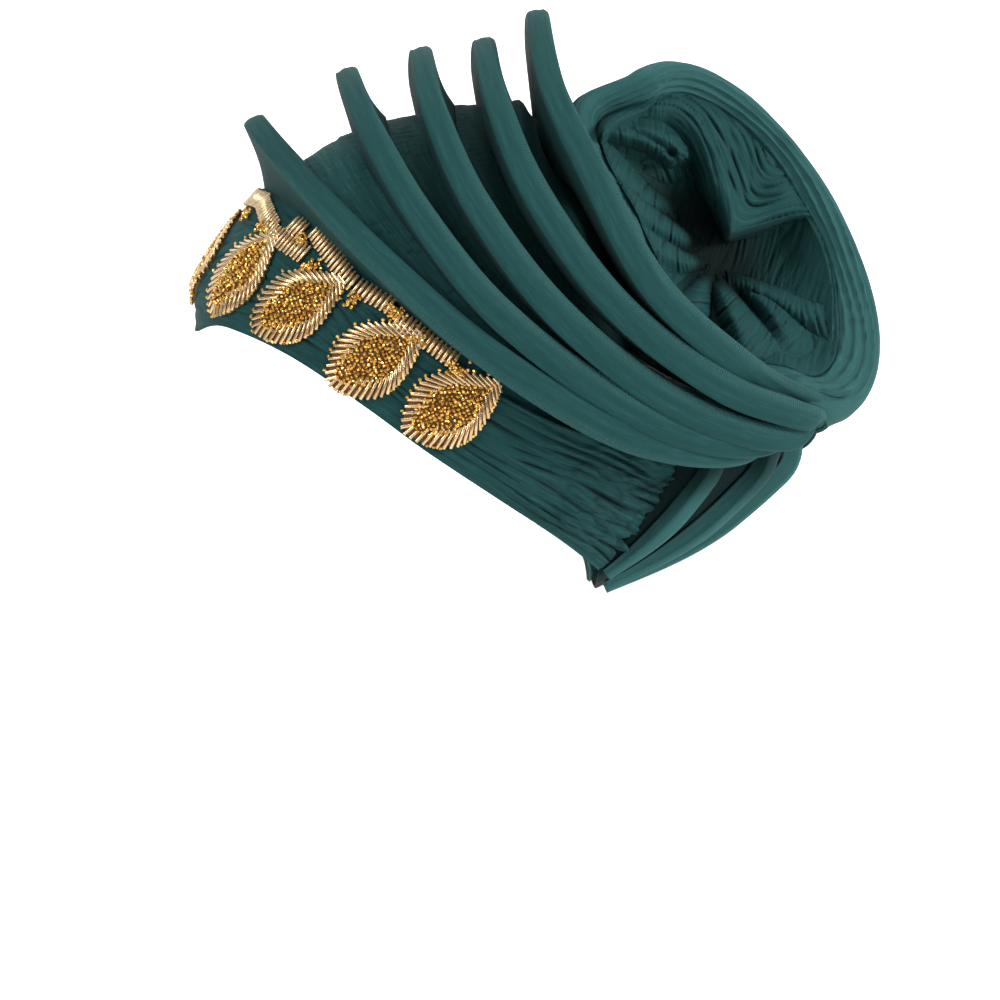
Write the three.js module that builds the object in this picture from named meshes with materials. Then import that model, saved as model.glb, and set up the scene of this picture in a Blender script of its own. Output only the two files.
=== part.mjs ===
import * as THREE from "three";

// Tied head wrap: a cap with a brow band, five standing pleats that sweep from the crown
// to the back, a folded rosette turned to the back and left, nape pleats and a bead trim.
// Millimetres. The wearer faces -Y, +X is the wearer's left and +Z is up.
// The origin is the middle of the head at the height of the brow hem.

// Named sizes
const CLOTH = 1.8;
const SEAM_GAP = 0.4;
const CAP = { y: -1, z: -31, halfWidth: 86, halfLength: 105, halfHeight: 132, lean: 25 };
const BROW_TUCK = 8;
const CAP_ROUND = 28;
const CAP_RISES = 8;
const PLEAT_STATIONS = 28;
const PLEAT_CORNER = 1.2;
const PLEAT_DEEPEST = 48;
const PLEAT_FLANK = 16;
const PLEAT_TAIL = 7;
const PLEAT_TURN = { keep: 0.25, forward: 0.12 };
const BAND_REACH = 148;
const BAND_LIFT = 1.1;
const TRIM_LIFT = 3.7;
const TRIM_THICK = 1.6;
const STEM_WIDTH = 7;
const POUCH_STEP = 2;
const POUCH_BACK = 162;
const POUCH_TOP = -52;
const RIB_HEIGHT = 8;
const RIB_WIDTH = 8;
const RIM = { long: 76, shortNear: 43, shortFar: 55, halfWidth: 12.5 };
const RIM_CORNER = { at: 165, half: 40, out: 9 };
const RIM_NEAR_DROP = 17;
const RIM_NEAR_FLAT = 0.4;
const HEART_DEPTH = 40;
const ROSETTE_AT = new THREE.Vector3(30, 138, 38);
const ROSETTE_FACES = new THREE.Vector3(0.643, 0.647, 0.411).normalize();
const ROSETTE_LONG = new THREE.Vector3(0.018, 0.524, -0.852).normalize();

// Hem of the cap and top edge of the brow band, in degrees of rise above the tilted waist
// of the cap form, at each turn from the middle of the brow (0) to the nape (180).
const HEM = [
  { turn: 0, hem: -6, top: 25 },
  { turn: 33, hem: -4, top: 24 },
  { turn: 58, hem: -1, top: 18.5 },
  { turn: 78, hem: -3.5, top: 13.5 },
  { turn: 96, hem: -7, top: 9.6 },
  { turn: 114, hem: -10, top: 6.6 },
  { turn: 134, hem: -13, top: 6.6 },
  { turn: 152, hem: -15, top: 7 },
  { turn: 180, hem: -17, top: 7 },
];

// Stations that every standing pleat passes on each side: x across the head and the width of
// its flat outer face.
const STATIONS = [
  { x: 0, width: 9.5 },
  { x: 62, width: 11 },
  { x: 86, width: 12.5 },
  { x: 99, width: 13.5 },
  { x: 89, width: 10 },
  { x: 64, width: 4.5 },
];

// Standing pleats from the brow to the back: lean of the outer face at the crown, forward
// of straight up, share of the run that is kept, then y and z at each of the stations above.
const PLEATS = [
  { lean: 25, run: 1, y: [-71, -47, -20, 28, 90, 143], z: [91, 63, 35, -7, -45, -55] },
  { lean: 21, run: 1, y: [-31, -22, -1, 34, 101, 150], z: [112, 89, 52, 9, -38, -49] },
  { lean: 13, run: 1, y: [1, 5, 22, 58, 112, 158], z: [121, 97, 58, 10, -31, -44] },
  { lean: 11, run: 1, y: [28, 32, 47, 82, 129, 167], z: [125, 100, 63, 14, -22, -36.5] },
  { lean: 8, run: 0.88, y: [51, 56, 71, 98, 131, 154], z: [137, 105, 72, 22, -9, -24] },
];

// Nape pleats: share of the way across the nape pouch, from its middle to its left side.
const NAPE_PLEATS = [
  { name: "nape_pleat_left_outer", across: 0.79 },
  { name: "nape_pleat_left_inner", across: 0.46 },
  { name: "nape_pleat_middle", across: 0 },
  { name: "nape_pleat_right_inner", across: -0.46 },
  { name: "nape_pleat_right_outer", across: -0.79 },
];

// Folds of the rosette heart: angle of the crest round the mouth, its half width in degrees,
// its height, and the shares of the mouth radius where it starts and ends.
const FOLDS = [
  { at: 15, half: 22, height: 16, from: 0.25, to: 1.0 },
  { at: 62, half: 20, height: 18, from: 0.2, to: 0.95 },
  { at: 108, half: 18, height: 15, from: 0.25, to: 0.95 },
  { at: 150, half: 18, height: 14, from: 0.25, to: 0.95 },
  { at: 200, half: 24, height: 20, from: 0.3, to: 1.0 },
  { at: 245, half: 18, height: 22, from: 0.15, to: 0.9 },
  { at: 305, half: 26, height: 20, from: 0.2, to: 1.0 },
];

// Section of the rosette rim from the tucked outer edge over the crest to the inner edge:
// distance out from the middle line of the rim, and height above the plane of the mouth.
const RIM_SECTION = [
  { out: 0.35, up: -22 },
  { out: 0.8, up: -13 },
  { out: 1.0, up: -3 },
  { out: 0.75, up: 5 },
  { out: 0.25, up: 8 },
  { out: -0.3, up: 6.5 },
  { out: -0.75, up: 1 },
  { out: -1.0, up: -8 },
];

// Bead leaves on the brow band, from the middle of the brow round to the left side: turn and
// rise of the middle of each leaf, and the slope of its length above the level of the band.
const LEAVES = [
  { turn: 0, rise: 8.5, slope: 90 },
  { turn: 29.5, rise: 8.2, slope: 71 },
  { turn: 51.5, rise: 7, slope: 47 },
  { turn: 75, rise: 4.4, slope: 47 },
  { turn: 95.5, rise: 2.2, slope: 48 },
];
const LEAF_LENGTH = 45;
const LEAF_WIDTH = 27;

// Wavy bead stem above the leaves: turn and rise of each bend.
const STEM = [
  { turn: 0, rise: 21.5 },
  { turn: 17, rise: 22 },
  { turn: 27, rise: 20.6 },
  { turn: 33, rise: 19.4 },
  { turn: 39, rise: 18.3 },
  { turn: 46, rise: 20.2 },
  { turn: 53, rise: 18.6 },
  { turn: 60, rise: 17 },
];

// Colours
const TEAL = 0x35716f;
const TEAL_DEEP = 0x244f4f;
const GOLD = 0xd3a95c;

// Small helpers
const rad = (degrees) => (degrees * Math.PI) / 180;
const mix = (a, b, share) => a + (b - a) * share;
const clamp = (value) => Math.min(1, Math.max(0, value));
const ease = (value) => clamp(value) * clamp(value) * (3 - 2 * clamp(value));
const lean = rad(CAP.lean);

function lookUp(rows, key, column, at) {
  if (at <= rows[0][key]) return rows[0][column];
  for (let i = 1; i < rows.length; i += 1) {
    const a = rows[i - 1];
    const b = rows[i];
    if (at <= b[key]) return mix(a[column], b[column], ease((at - a[key]) / (b[key] - a[key])));
  }
  return rows[rows.length - 1][column];
}

// Point of the cap form at a turn and rise, lifted clear of its outer face. It draws in at the brow hem.
function capPoint(turn, rise, lift) {
  const flat = Math.cos(rad(rise));
  const x = (CAP.halfWidth + lift) * flat * Math.sin(rad(turn));
  const brow = Math.max(0, Math.cos(rad(turn))) ** 2;
  const tuck = BROW_TUCK * brow * ease((4 - rise) / 10);
  const y = -(CAP.halfLength + lift - tuck) * flat * Math.cos(rad(turn));
  const z = (CAP.halfHeight + lift) * Math.sin(rad(rise));
  const back = Math.cos(lean) * y + Math.sin(lean) * z;
  const up = Math.cos(lean) * z - Math.sin(lean) * y;
  return new THREE.Vector3(x, CAP.y + back, CAP.z + up);
}

// A vector turned from the frame of the object into the leaning frame of the cap form.
function leaned(v) {
  const y = Math.cos(lean) * v.y - Math.sin(lean) * v.z;
  const z = Math.sin(lean) * v.y + Math.cos(lean) * v.z;
  return new THREE.Vector3(v.x, y, z);
}

function fromCentre(point) {
  return leaned(new THREE.Vector3(point.x, point.y - CAP.y, point.z - CAP.z));
}

function capNormal(point) {
  const p = fromCentre(point);
  const n = new THREE.Vector3(p.x / CAP.halfWidth ** 2, p.y / CAP.halfLength ** 2, p.z / CAP.halfHeight ** 2);
  const y = Math.cos(lean) * n.y + Math.sin(lean) * n.z;
  const z = Math.cos(lean) * n.z - Math.sin(lean) * n.y;
  return new THREE.Vector3(n.x, y, z).normalize();
}

// How far a point must go along a direction to meet the cap form lifted by a clearance.
function reachCap(point, direction, lift, deepest) {
  const size = [CAP.halfWidth + lift, CAP.halfLength + lift, CAP.halfHeight + lift];
  const p = fromCentre(point).toArray().map((value, i) => value / size[i]);
  const d = leaned(direction).toArray().map((value, i) => value / size[i]);
  const a = d[0] ** 2 + d[1] ** 2 + d[2] ** 2;
  const b = p[0] * d[0] + p[1] * d[1] + p[2] * d[2];
  const c = p[0] ** 2 + p[1] ** 2 + p[2] ** 2 - 1;
  if (b * b - a * c < 0) return deepest;
  const way = (-b - Math.sqrt(b * b - a * c)) / a;
  return way > 0 ? Math.min(way, deepest) : deepest;
}

// A closed cloth body from an outer and an inner grid of points with the same counts.
function closedSheet(outer, inner, round) {
  const points = [];
  const index = new Map();
  const faces = [];
  const number = (p) => {
    const key = p.toArray().map((value) => Math.round(value * 500)).join();
    if (!index.has(key)) {
      index.set(key, points.length);
      points.push(p);
    }
    return index.get(key);
  };
  const triangle = (a, b, c) => {
    if (a !== b && b !== c && c !== a) faces.push(a, b, c);
  };
  const quad = (p, q, r, s) => {
    const [a, b, c, d] = [p, q, r, s].map(number);
    triangle(a, b, c);
    triangle(a, c, d);
  };
  const rows = outer.length;
  const count = outer[0].length;
  const steps = round ? count : count - 1;
  for (let i = 0; i < rows - 1; i += 1) {
    for (let j = 0; j < steps; j += 1) {
      const k = (j + 1) % count;
      quad(outer[i][j], outer[i][k], outer[i + 1][k], outer[i + 1][j]);
      quad(inner[i][j], inner[i + 1][j], inner[i + 1][k], inner[i][k]);
    }
  }
  for (let j = 0; j < steps; j += 1) {
    const k = (j + 1) % count;
    quad(outer[0][k], outer[0][j], inner[0][j], inner[0][k]);
    quad(outer[rows - 1][j], outer[rows - 1][k], inner[rows - 1][k], inner[rows - 1][j]);
  }
  for (let i = 0; i < rows - 1 && !round; i += 1) {
    quad(outer[i][0], outer[i + 1][0], inner[i + 1][0], inner[i][0]);
    quad(outer[i + 1][count - 1], outer[i][count - 1], inner[i][count - 1], inner[i + 1][count - 1]);
  }
  let volume = 0;
  for (let f = 0; f < faces.length; f += 3) {
    const [a, b, c] = [points[faces[f]], points[faces[f + 1]], points[faces[f + 2]]];
    volume += a.dot(b.clone().cross(c));
  }
  if (volume < 0) faces.reverse();
  const geometry = new THREE.BufferGeometry();
  geometry.setAttribute("position", new THREE.Float32BufferAttribute(points.flatMap((p) => p.toArray()), 3));
  geometry.setIndex(faces);
  geometry.computeVertexNormals();
  return geometry;
}

function grid(rows, columns, point) {
  const lines = [];
  for (let i = 0; i < rows; i += 1) {
    const line = [];
    for (let j = 0; j < columns; j += 1) line.push(point(i / (rows - 1), j / (columns - 1), i, j));
    lines.push(line);
  }
  return lines;
}

const object = new THREE.Group();
object.name = "tied_gele_head_tie";

function add(name, geometry, colour, roughness, metalness) {
  const material = new THREE.MeshStandardMaterial({ color: colour, roughness, metalness });
  material.name = name;
  const mesh = new THREE.Mesh(geometry, material);
  mesh.name = name;
  object.add(mesh);
}

// Cap
function capGrid(lift) {
  const lines = [];
  for (let i = 0; i <= CAP_RISES; i += 1) {
    const line = [];
    for (let j = 0; j < CAP_ROUND; j += 1) {
      const turn = (360 * j) / CAP_ROUND - 180;
      const rise = mix(lookUp(HEM, "turn", "hem", Math.abs(turn)), 90, i / CAP_RISES);
      line.push(i === CAP_RISES ? capPoint(0, 90, lift) : capPoint(turn, rise, lift));
    }
    lines.push(line);
  }
  return lines;
}
add("cap", closedSheet(capGrid(0), capGrid(-CLOTH), true), TEAL, 0.7, 0);

// Brow band, which swings clear of the cap toward its two rear ends
function bandPoint(turn, up, lift) {
  const away = Math.abs(turn);
  const rise = mix(lookUp(HEM, "turn", "hem", away) - 0.8, lookUp(HEM, "turn", "top", away), up);
  const swing = mix(12, 20, up) * ease((away - 95) / 55);
  return capPoint(turn, rise, BAND_LIFT + lift + swing);
}

const bandEnd = (up) => mix(BAND_REACH, BAND_REACH + 3, up);

function bandGrid(lift) {
  return grid(5, 31, (up, along) => {
    return bandPoint((2 * along - 1) * bandEnd(up), up, lift);
  });
}
add("brow_band", closedSheet(bandGrid(CLOTH), bandGrid(0), false), TEAL, 0.65, 0);

// Standing pleats
function pleatSpine(row) {
  const left = STATIONS.map((station, i) => new THREE.Vector3(station.x, row.y[i], row.z[i]));
  const right = left.slice(1).reverse().map((p) => new THREE.Vector3(-p.x, p.y, p.z));
  return new THREE.CatmullRomCurve3([...right, ...left], false, "centripetal");
}

function pleatWidth(away) {
  const last = STATIONS.length - 1;
  const step = Math.min(last - 1, Math.floor(away * last));
  return mix(STATIONS[step].width, STATIONS[step + 1].width, away * last - step);
}

function pleatSection(curve, row, along, wall) {
  const at = curve.getPoint(along);
  const forward = curve.getTangent(along);
  const away = Math.abs(2 * along - 1);
  const crown = new THREE.Vector3(0, -Math.sin(rad(row.lean)), Math.cos(rad(row.lean)));
  // Down the sides the outer face turns forward of the cap's own slope.
  const flank = capNormal(at);
  flank.y = flank.y * PLEAT_TURN.keep - PLEAT_TURN.forward;
  const outward = crown.lerp(flank.normalize(), ease(Math.abs(at.x) / 70)).normalize();
  const across = forward.clone().cross(outward).normalize();
  const up = across.clone().cross(forward).normalize();
  const half = pleatWidth(away) / 2;
  const middle = mix(PLEAT_DEEPEST, PLEAT_FLANK, ease((away - 0.2) / 0.2));
  const deepest = mix(middle, PLEAT_TAIL, ease((away - 0.6) / 0.25));
  const place = (side, out) => at.clone().addScaledVector(across, side).addScaledVector(up, out);
  const foot = (sign) => {
    const edge = place(sign * (half - wall), 0);
    const way = reachCap(edge, up.clone().negate(), SEAM_GAP + 0.8, deepest);
    return place(sign * (half - wall), -way);
  };
  const soft = Math.min(PLEAT_CORNER, half * 0.4);
  const low = -wall - soft;
  return [
    foot(-1),
    place(wall - half, low),
    place(soft + wall * 0.6 - half, -wall),
    place(half - soft - wall * 0.6, -wall),
    place(half - wall, low),
    foot(1),
  ];
}

function pleat(row) {
  const curve = pleatSpine(row);
  const side = (wall) => {
    const lines = [];
    for (let i = 0; i <= PLEAT_STATIONS; i += 1) {
      const along = 0.5 + (i / PLEAT_STATIONS - 0.5) * row.run;
      lines.push(pleatSection(curve, row, along, wall));
    }
    return lines;
  };
  return closedSheet(side(0), side(1.5), false);
}
PLEATS.forEach((row, i) => add(`pleat_${i + 1}`, pleat(row), TEAL, 0.6, 0));

// Nape pouch: its sides meet the rear ends of the band and its middle swells to the back
function pouchPoint(across, up, lift) {
  const side = bandPoint(Math.sign(across || 1) * (bandEnd(up) + 0.6), up, lift - POUCH_STEP);
  const hem = capPoint(180, -15, SEAM_GAP + lift);
  const bend = new THREE.Vector3(0, 122 + lift * 0.7, -97 - lift * 0.8);
  const top = new THREE.Vector3(0, POUCH_BACK + lift, POUCH_TOP);
  const middle = new THREE.QuadraticBezierCurve3(hem, bend, top).getPoint(up);
  const round = rad(90 * Math.abs(across));
  const p = new THREE.Vector3(
    side.x * Math.sin(round),
    mix(side.y, middle.y, Math.cos(round)),
    mix(side.z, middle.z, Math.cos(round)),
  );
  return p;
}

// The top of the pouch rolls over and runs in to the back of the cap.
function pouchRoll(across, over, lift) {
  const edge = pouchPoint(across, 1, lift);
  const share = Math.cos(rad(80 * across));
  const cap = capPoint(180 - across * 32, 33, SEAM_GAP + 0.6 + lift);
  const end = edge.clone().lerp(cap, share);
  const bend = edge.clone().lerp(end, 0.15);
  bend.z += 20 * share;
  return new THREE.QuadraticBezierCurve3(edge, bend, end).getPoint(over);
}
function pouchGrid(lift) {
  return grid(9, 17, (up, along) => {
    const across = 2 * along - 1;
    return up < 0.7 ? pouchPoint(across, up / 0.625, lift) : pouchRoll(across, (up - 0.625) / 0.375, lift);
  });
}
add("nape_pouch", closedSheet(pouchGrid(CLOTH), pouchGrid(0), false), TEAL_DEEP, 0.75, 0);

// Nape pleats, channels that stand on the pouch
function napePleat(row) {
  const foot = CLOTH + SEAM_GAP;
  const lines = (wall) => {
    const sections = [];
    for (let i = 0; i <= 9; i += 1) {
      const up = mix(0.06, 0.985, i / 9);
      const at = pouchPoint(row.across, up, foot);
      const next = pouchPoint(row.across, up + 0.01, foot).sub(at).normalize();
      const beside = pouchPoint(row.across + 0.01, up, foot).sub(at).normalize();
      const out = beside.clone().cross(next).normalize();
      if (out.y + out.x * at.x * 0.01 < 0) out.negate();
      const side = next.clone().cross(out).normalize();
      const half = mix(RIB_WIDTH * 0.3, RIB_WIDTH / 2, ease(i / 5));
      const tall = mix(RIB_HEIGHT * 0.4, RIB_HEIGHT, ease(i / 4));
      const place = (s, h) => at.clone().addScaledVector(side, s).addScaledVector(out, h);
      sections.push([
        place(wall - half, 0.3),
        place(wall - half, tall - wall - 1),
        place(wall * 0.6 + 1 - half, tall - wall),
        place(half - 1 - wall * 0.6, tall - wall),
        place(half - wall, tall - wall - 1),
        place(half - wall, 0.3),
      ]);
    }
    return sections;
  };
  return closedSheet(lines(0), lines(1.3), false);
}
NAPE_PLEATS.forEach((row) => add(row.name, napePleat(row), TEAL, 0.7, 0));

// Rosette, laid out on the plane of its mouth
const rosetteSide = ROSETTE_LONG.clone().cross(ROSETTE_FACES).normalize();

function mouthPoint(angle, share, out, up) {
  const a = rad(angle);
  const short = Math.sin(a) > 0 ? RIM.shortNear : RIM.shortFar;
  const corner = RIM_CORNER.out * ease(1 - Math.abs(angle - RIM_CORNER.at) / RIM_CORNER.half);
  return ROSETTE_AT.clone()
    .addScaledVector(ROSETTE_LONG, (RIM.long + out + corner) * share * Math.cos(a))
    .addScaledVector(rosetteSide, (short + out + corner) * share * Math.sin(a))
    .addScaledVector(ROSETTE_FACES, up);
}

// Share of the near side, where the rim dips and lies flat behind the last pleat.
const nearShare = (angle) => ease((Math.sin(rad(angle)) - 0.35) / 0.4);
const rimHeight = (up, angle) => {
  const near = nearShare(angle);
  return up * mix(1, RIM_NEAR_FLAT, near) - RIM_NEAR_DROP * near;
};

// A point of the rosette moved out along its axis when its back would enter the cap.
function clearOfCap(back, point) {
  const start = back.clone().addScaledVector(ROSETTE_FACES, 120);
  const way = reachCap(start, ROSETTE_FACES.clone().negate(), SEAM_GAP, 1000);
  const short = Math.max(0, 120 - way);
  return point.addScaledVector(ROSETTE_FACES, short);
}

function rimGrid(wall) {
  return RIM_SECTION.map((row, i) => {
    const line = [];
    const last = RIM_SECTION.length - 1;
    const before = RIM_SECTION[Math.max(0, i - 1)];
    const after = RIM_SECTION[Math.min(last, i + 1)];
    const run = new THREE.Vector2((after.out - before.out) * RIM.halfWidth, after.up - before.up).normalize();
    for (let j = 0; j < 36; j += 1) {
      const out = row.out * RIM.halfWidth - run.y * wall;
      const back = mouthPoint(j * 10, 1, out, rimHeight(row.up, j * 10) - CLOTH);
      line.push(clearOfCap(back, mouthPoint(j * 10, 1, out, rimHeight(row.up, j * 10) + run.x * wall)));
    }
    return line;
  });
}
add("rosette_rim", closedSheet(rimGrid(0), rimGrid(CLOTH), true), TEAL, 0.65, 0);

function foldHeight(angle, share) {
  let height = 0;
  FOLDS.forEach((fold) => {
    const off = Math.abs(((angle - fold.at + 540) % 360) - 180) / fold.half;
    const along = clamp((share - fold.from) / (fold.to - fold.from));
    if (off < 1) height = Math.max(height, fold.height * (1 - off * off) * Math.sin(Math.PI * along));
  });
  return height;
}

function heartGrid(wall) {
  const rows = 8;
  const lines = [];
  for (let i = 0; i < rows; i += 1) {
    const share = 1 - i / (rows - 1);
    const line = [];
    for (let j = 0; j < 36; j += 1) {
      const angle = j * 10;
      const edge = rimHeight(RIM_SECTION.at(-1).up, angle) - 0.3;
      const bowl = edge - HEART_DEPTH * (1 - share ** 1.6);
      const up = bowl + foldHeight(angle, share);
      const inside = -RIM.halfWidth - SEAM_GAP - 0.1;
      const back = mouthPoint(angle, share, inside, up - CLOTH);
      const p = mouthPoint(angle, share, inside, up - wall);
      line.push(clearOfCap(back, p));
    }
    lines.push(line);
  }
  return lines;
}

add("rosette_heart", closedSheet(heartGrid(0), heartGrid(CLOTH), true), TEAL_DEEP, 0.7, 0);

// Bead leaves and their stem
function onBand(turn, rise, lift) {
  const swing = 16 * ease((Math.abs(turn) - 95) / 55);
  return capPoint(turn, rise, lift + swing);
}

function leafBody(row, hand) {
  const turn = row.turn * hand;
  const wide = onBand(turn + 0.5, row.rise, TRIM_LIFT).distanceTo(onBand(turn - 0.5, row.rise, TRIM_LIFT));
  const tall = onBand(turn, row.rise + 0.5, TRIM_LIFT).distanceTo(onBand(turn, row.rise - 0.5, TRIM_LIFT));
  const slope = rad(row.slope);
  const face = (lift) =>
    grid(7, 3, (along, over) => {
      const half = (LEAF_WIDTH / 2) * Math.max(0.06, Math.sin(Math.PI * along ** 1.25) ** 0.75);
      const run = (0.5 - along) * LEAF_LENGTH;
      const side = (2 * over - 1) * half;
      const alongBand = run * Math.cos(slope) - side * Math.sin(slope);
      const upBand = run * Math.sin(slope) + side * Math.cos(slope);
      return onBand(turn + (hand * alongBand) / wide, row.rise + upBand / tall, lift);
    });
  return closedSheet(face(TRIM_LIFT + TRIM_THICK), face(TRIM_LIFT), false);
}
LEAVES.forEach((row, i) => {
  if (row.turn === 0) {
    add("leaf_brow", leafBody(row, 1), GOLD, 0.35, 0.6);
  } else {
    add(`leaf_left_${i}`, leafBody(row, 1), GOLD, 0.35, 0.6);
    add(`leaf_right_${i}`, leafBody(row, -1), GOLD, 0.35, 0.6);
  }
});

function stemGrid(lift) {
  const last = STEM[STEM.length - 1].turn;
  return grid(41, 2, (along, over) => {
    const turn = mix(-last, last, along);
    const rise = lookUp(STEM, "turn", "rise", Math.abs(turn));
    return onBand(turn, rise + (over - 0.5) * STEM_WIDTH * 0.44, lift);
  });
}
add("bead_stem", closedSheet(stemGrid(TRIM_LIFT + TRIM_THICK), stemGrid(TRIM_LIFT), false), GOLD, 0.35, 0.6);

export default object;
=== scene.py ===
import math

import bpy
import numpy as np
from bpy.props import FloatProperty, FloatVectorProperty, PointerProperty
from bpy.types import Operator, Panel, PropertyGroup
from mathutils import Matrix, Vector


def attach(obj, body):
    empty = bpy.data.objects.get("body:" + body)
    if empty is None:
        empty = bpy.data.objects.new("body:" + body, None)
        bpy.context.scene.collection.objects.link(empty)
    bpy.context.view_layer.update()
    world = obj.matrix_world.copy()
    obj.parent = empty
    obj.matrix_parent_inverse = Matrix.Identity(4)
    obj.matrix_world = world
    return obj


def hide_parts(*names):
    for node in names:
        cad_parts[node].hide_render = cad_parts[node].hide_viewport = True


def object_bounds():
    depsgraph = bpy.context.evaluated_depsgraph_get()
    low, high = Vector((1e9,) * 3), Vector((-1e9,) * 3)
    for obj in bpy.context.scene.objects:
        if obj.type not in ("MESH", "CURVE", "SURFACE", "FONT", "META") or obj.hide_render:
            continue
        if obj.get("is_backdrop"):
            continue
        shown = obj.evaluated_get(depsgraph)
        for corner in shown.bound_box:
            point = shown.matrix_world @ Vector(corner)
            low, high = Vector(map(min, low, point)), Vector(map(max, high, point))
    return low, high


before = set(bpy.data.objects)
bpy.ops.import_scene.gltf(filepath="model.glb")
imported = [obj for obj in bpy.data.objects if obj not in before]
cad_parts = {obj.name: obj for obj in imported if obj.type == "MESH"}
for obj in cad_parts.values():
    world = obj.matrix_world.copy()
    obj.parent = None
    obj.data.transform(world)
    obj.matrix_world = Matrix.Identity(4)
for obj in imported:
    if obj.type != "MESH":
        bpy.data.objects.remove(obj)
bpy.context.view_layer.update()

bl_info = {
    "name": "Pleated head tie",
    "version": (1, 0, 0),
    "blender": (4, 5, 0),
    "location": "View3D > Sidebar > Head tie",
    "description": "Builds the cloth, the standing pleats, the rosette and the bead trim of a tied head wrap",
    "category": "Object",
}

MM = 0.001

# Form of the cap and of what lies on it, in millimetres and degrees, as in the part's source

CAP_Y, CAP_Z = -1.0, -31.0
CAP_HALF = np.array([86.0, 105.0, 132.0])
BROW_TUCK = 8.0
LEAN = math.radians(25.0)

HEM_TURN = [0, 33, 58, 78, 96, 114, 134, 152, 180]
HEM_RISE = [-4.4, -0.7, -0.5, -2.8, -5.6, -7.6, -9.5, -12.0, -17]
BAND_TOP = [25, 24, 18.5, 13.5, 9.8, 7.9, 8.4, 9, 9]
BAND_REACH = 148.0
BAND_LIFT = 1.1

STATION_X = [0, 62, 86, 99, 89, 64]
STATION_WIDTH = [9.5, 11, 12.5, 13.5, 13.6, 11.5, 8.5, 5, 2]
PLEATS = [
    {"lean": 25, "tail": "over",
     "y": [-71, -47, -20, 28, 90, 138], "z": [91, 63, 35, -7, -43.5, -50]},
    {"lean": 21, "tail": "over",
     "y": [-31, -22, -1, 34, 101, 148], "z": [112, 89, 52, 9, -37.5, -46]},
    {"lean": 13, "tail": "over",
     "y": [1, 5, 22, 58, 112, 158], "z": [121, 97, 58, 10, -31, -44]},
    {"lean": 11, "tail": "behind",
     "y": [28, 32, 47, 82, 129, 167], "z": [125, 100, 63, 14, -22, -36.5]},
    {"lean": 8, "tail": "rim",
     "y": [51, 56, 71, 98, 131, 154], "z": [137, 105, 72, 22, -9, -24]},
]

TAILS = {"over": [[-20, 8, 12], [-44, -2, 17]], "behind": [[-19, -2, 0], [-40, -16, -2]]}
RIGHT_TAIL = [[-34, 10, 6], [-72, 6, 12]]
RIM_TAIL = [8, 338, 312]

POUCH_BACK, POUCH_TOP, POUCH_STEP = 158.5, -52.0, 2.0
NAPE_PLEATS = [
    ("nape_pleat_left_outer", 0.79),
    ("nape_pleat_left_inner", 0.46),
    ("nape_pleat_middle", 0.0),
    ("nape_pleat_right_inner", -0.46),
    ("nape_pleat_right_outer", -0.79),
]
NAPE_WAY = (0.0, 1.0, -0.5)

ROSETTE_AT = np.array([30.0, 138.0, 38.0])
RIM_LONG, RIM_NEAR, RIM_FAR, RIM_HALF = 75.0, 43.0, 52.6, 12.5
RIM_OUT = [0.35, 0.8, 1.0, 0.9, 0.65, 0.35, 0.1, -0.08, -0.2]
RIM_UP = [-22, -13, -3, 4.5, 7.5, 7.5, 5.5, 2, -4]
RIM_LIP = -0.11
LOW_SPREAD = 9.0
RIM_NEAR_DROP, RIM_NEAR_FLAT = 17.0, 0.4
CORNER_AT, CORNER_HALF, CORNER_OUT = 148.0, 30.0, 14.0

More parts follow.
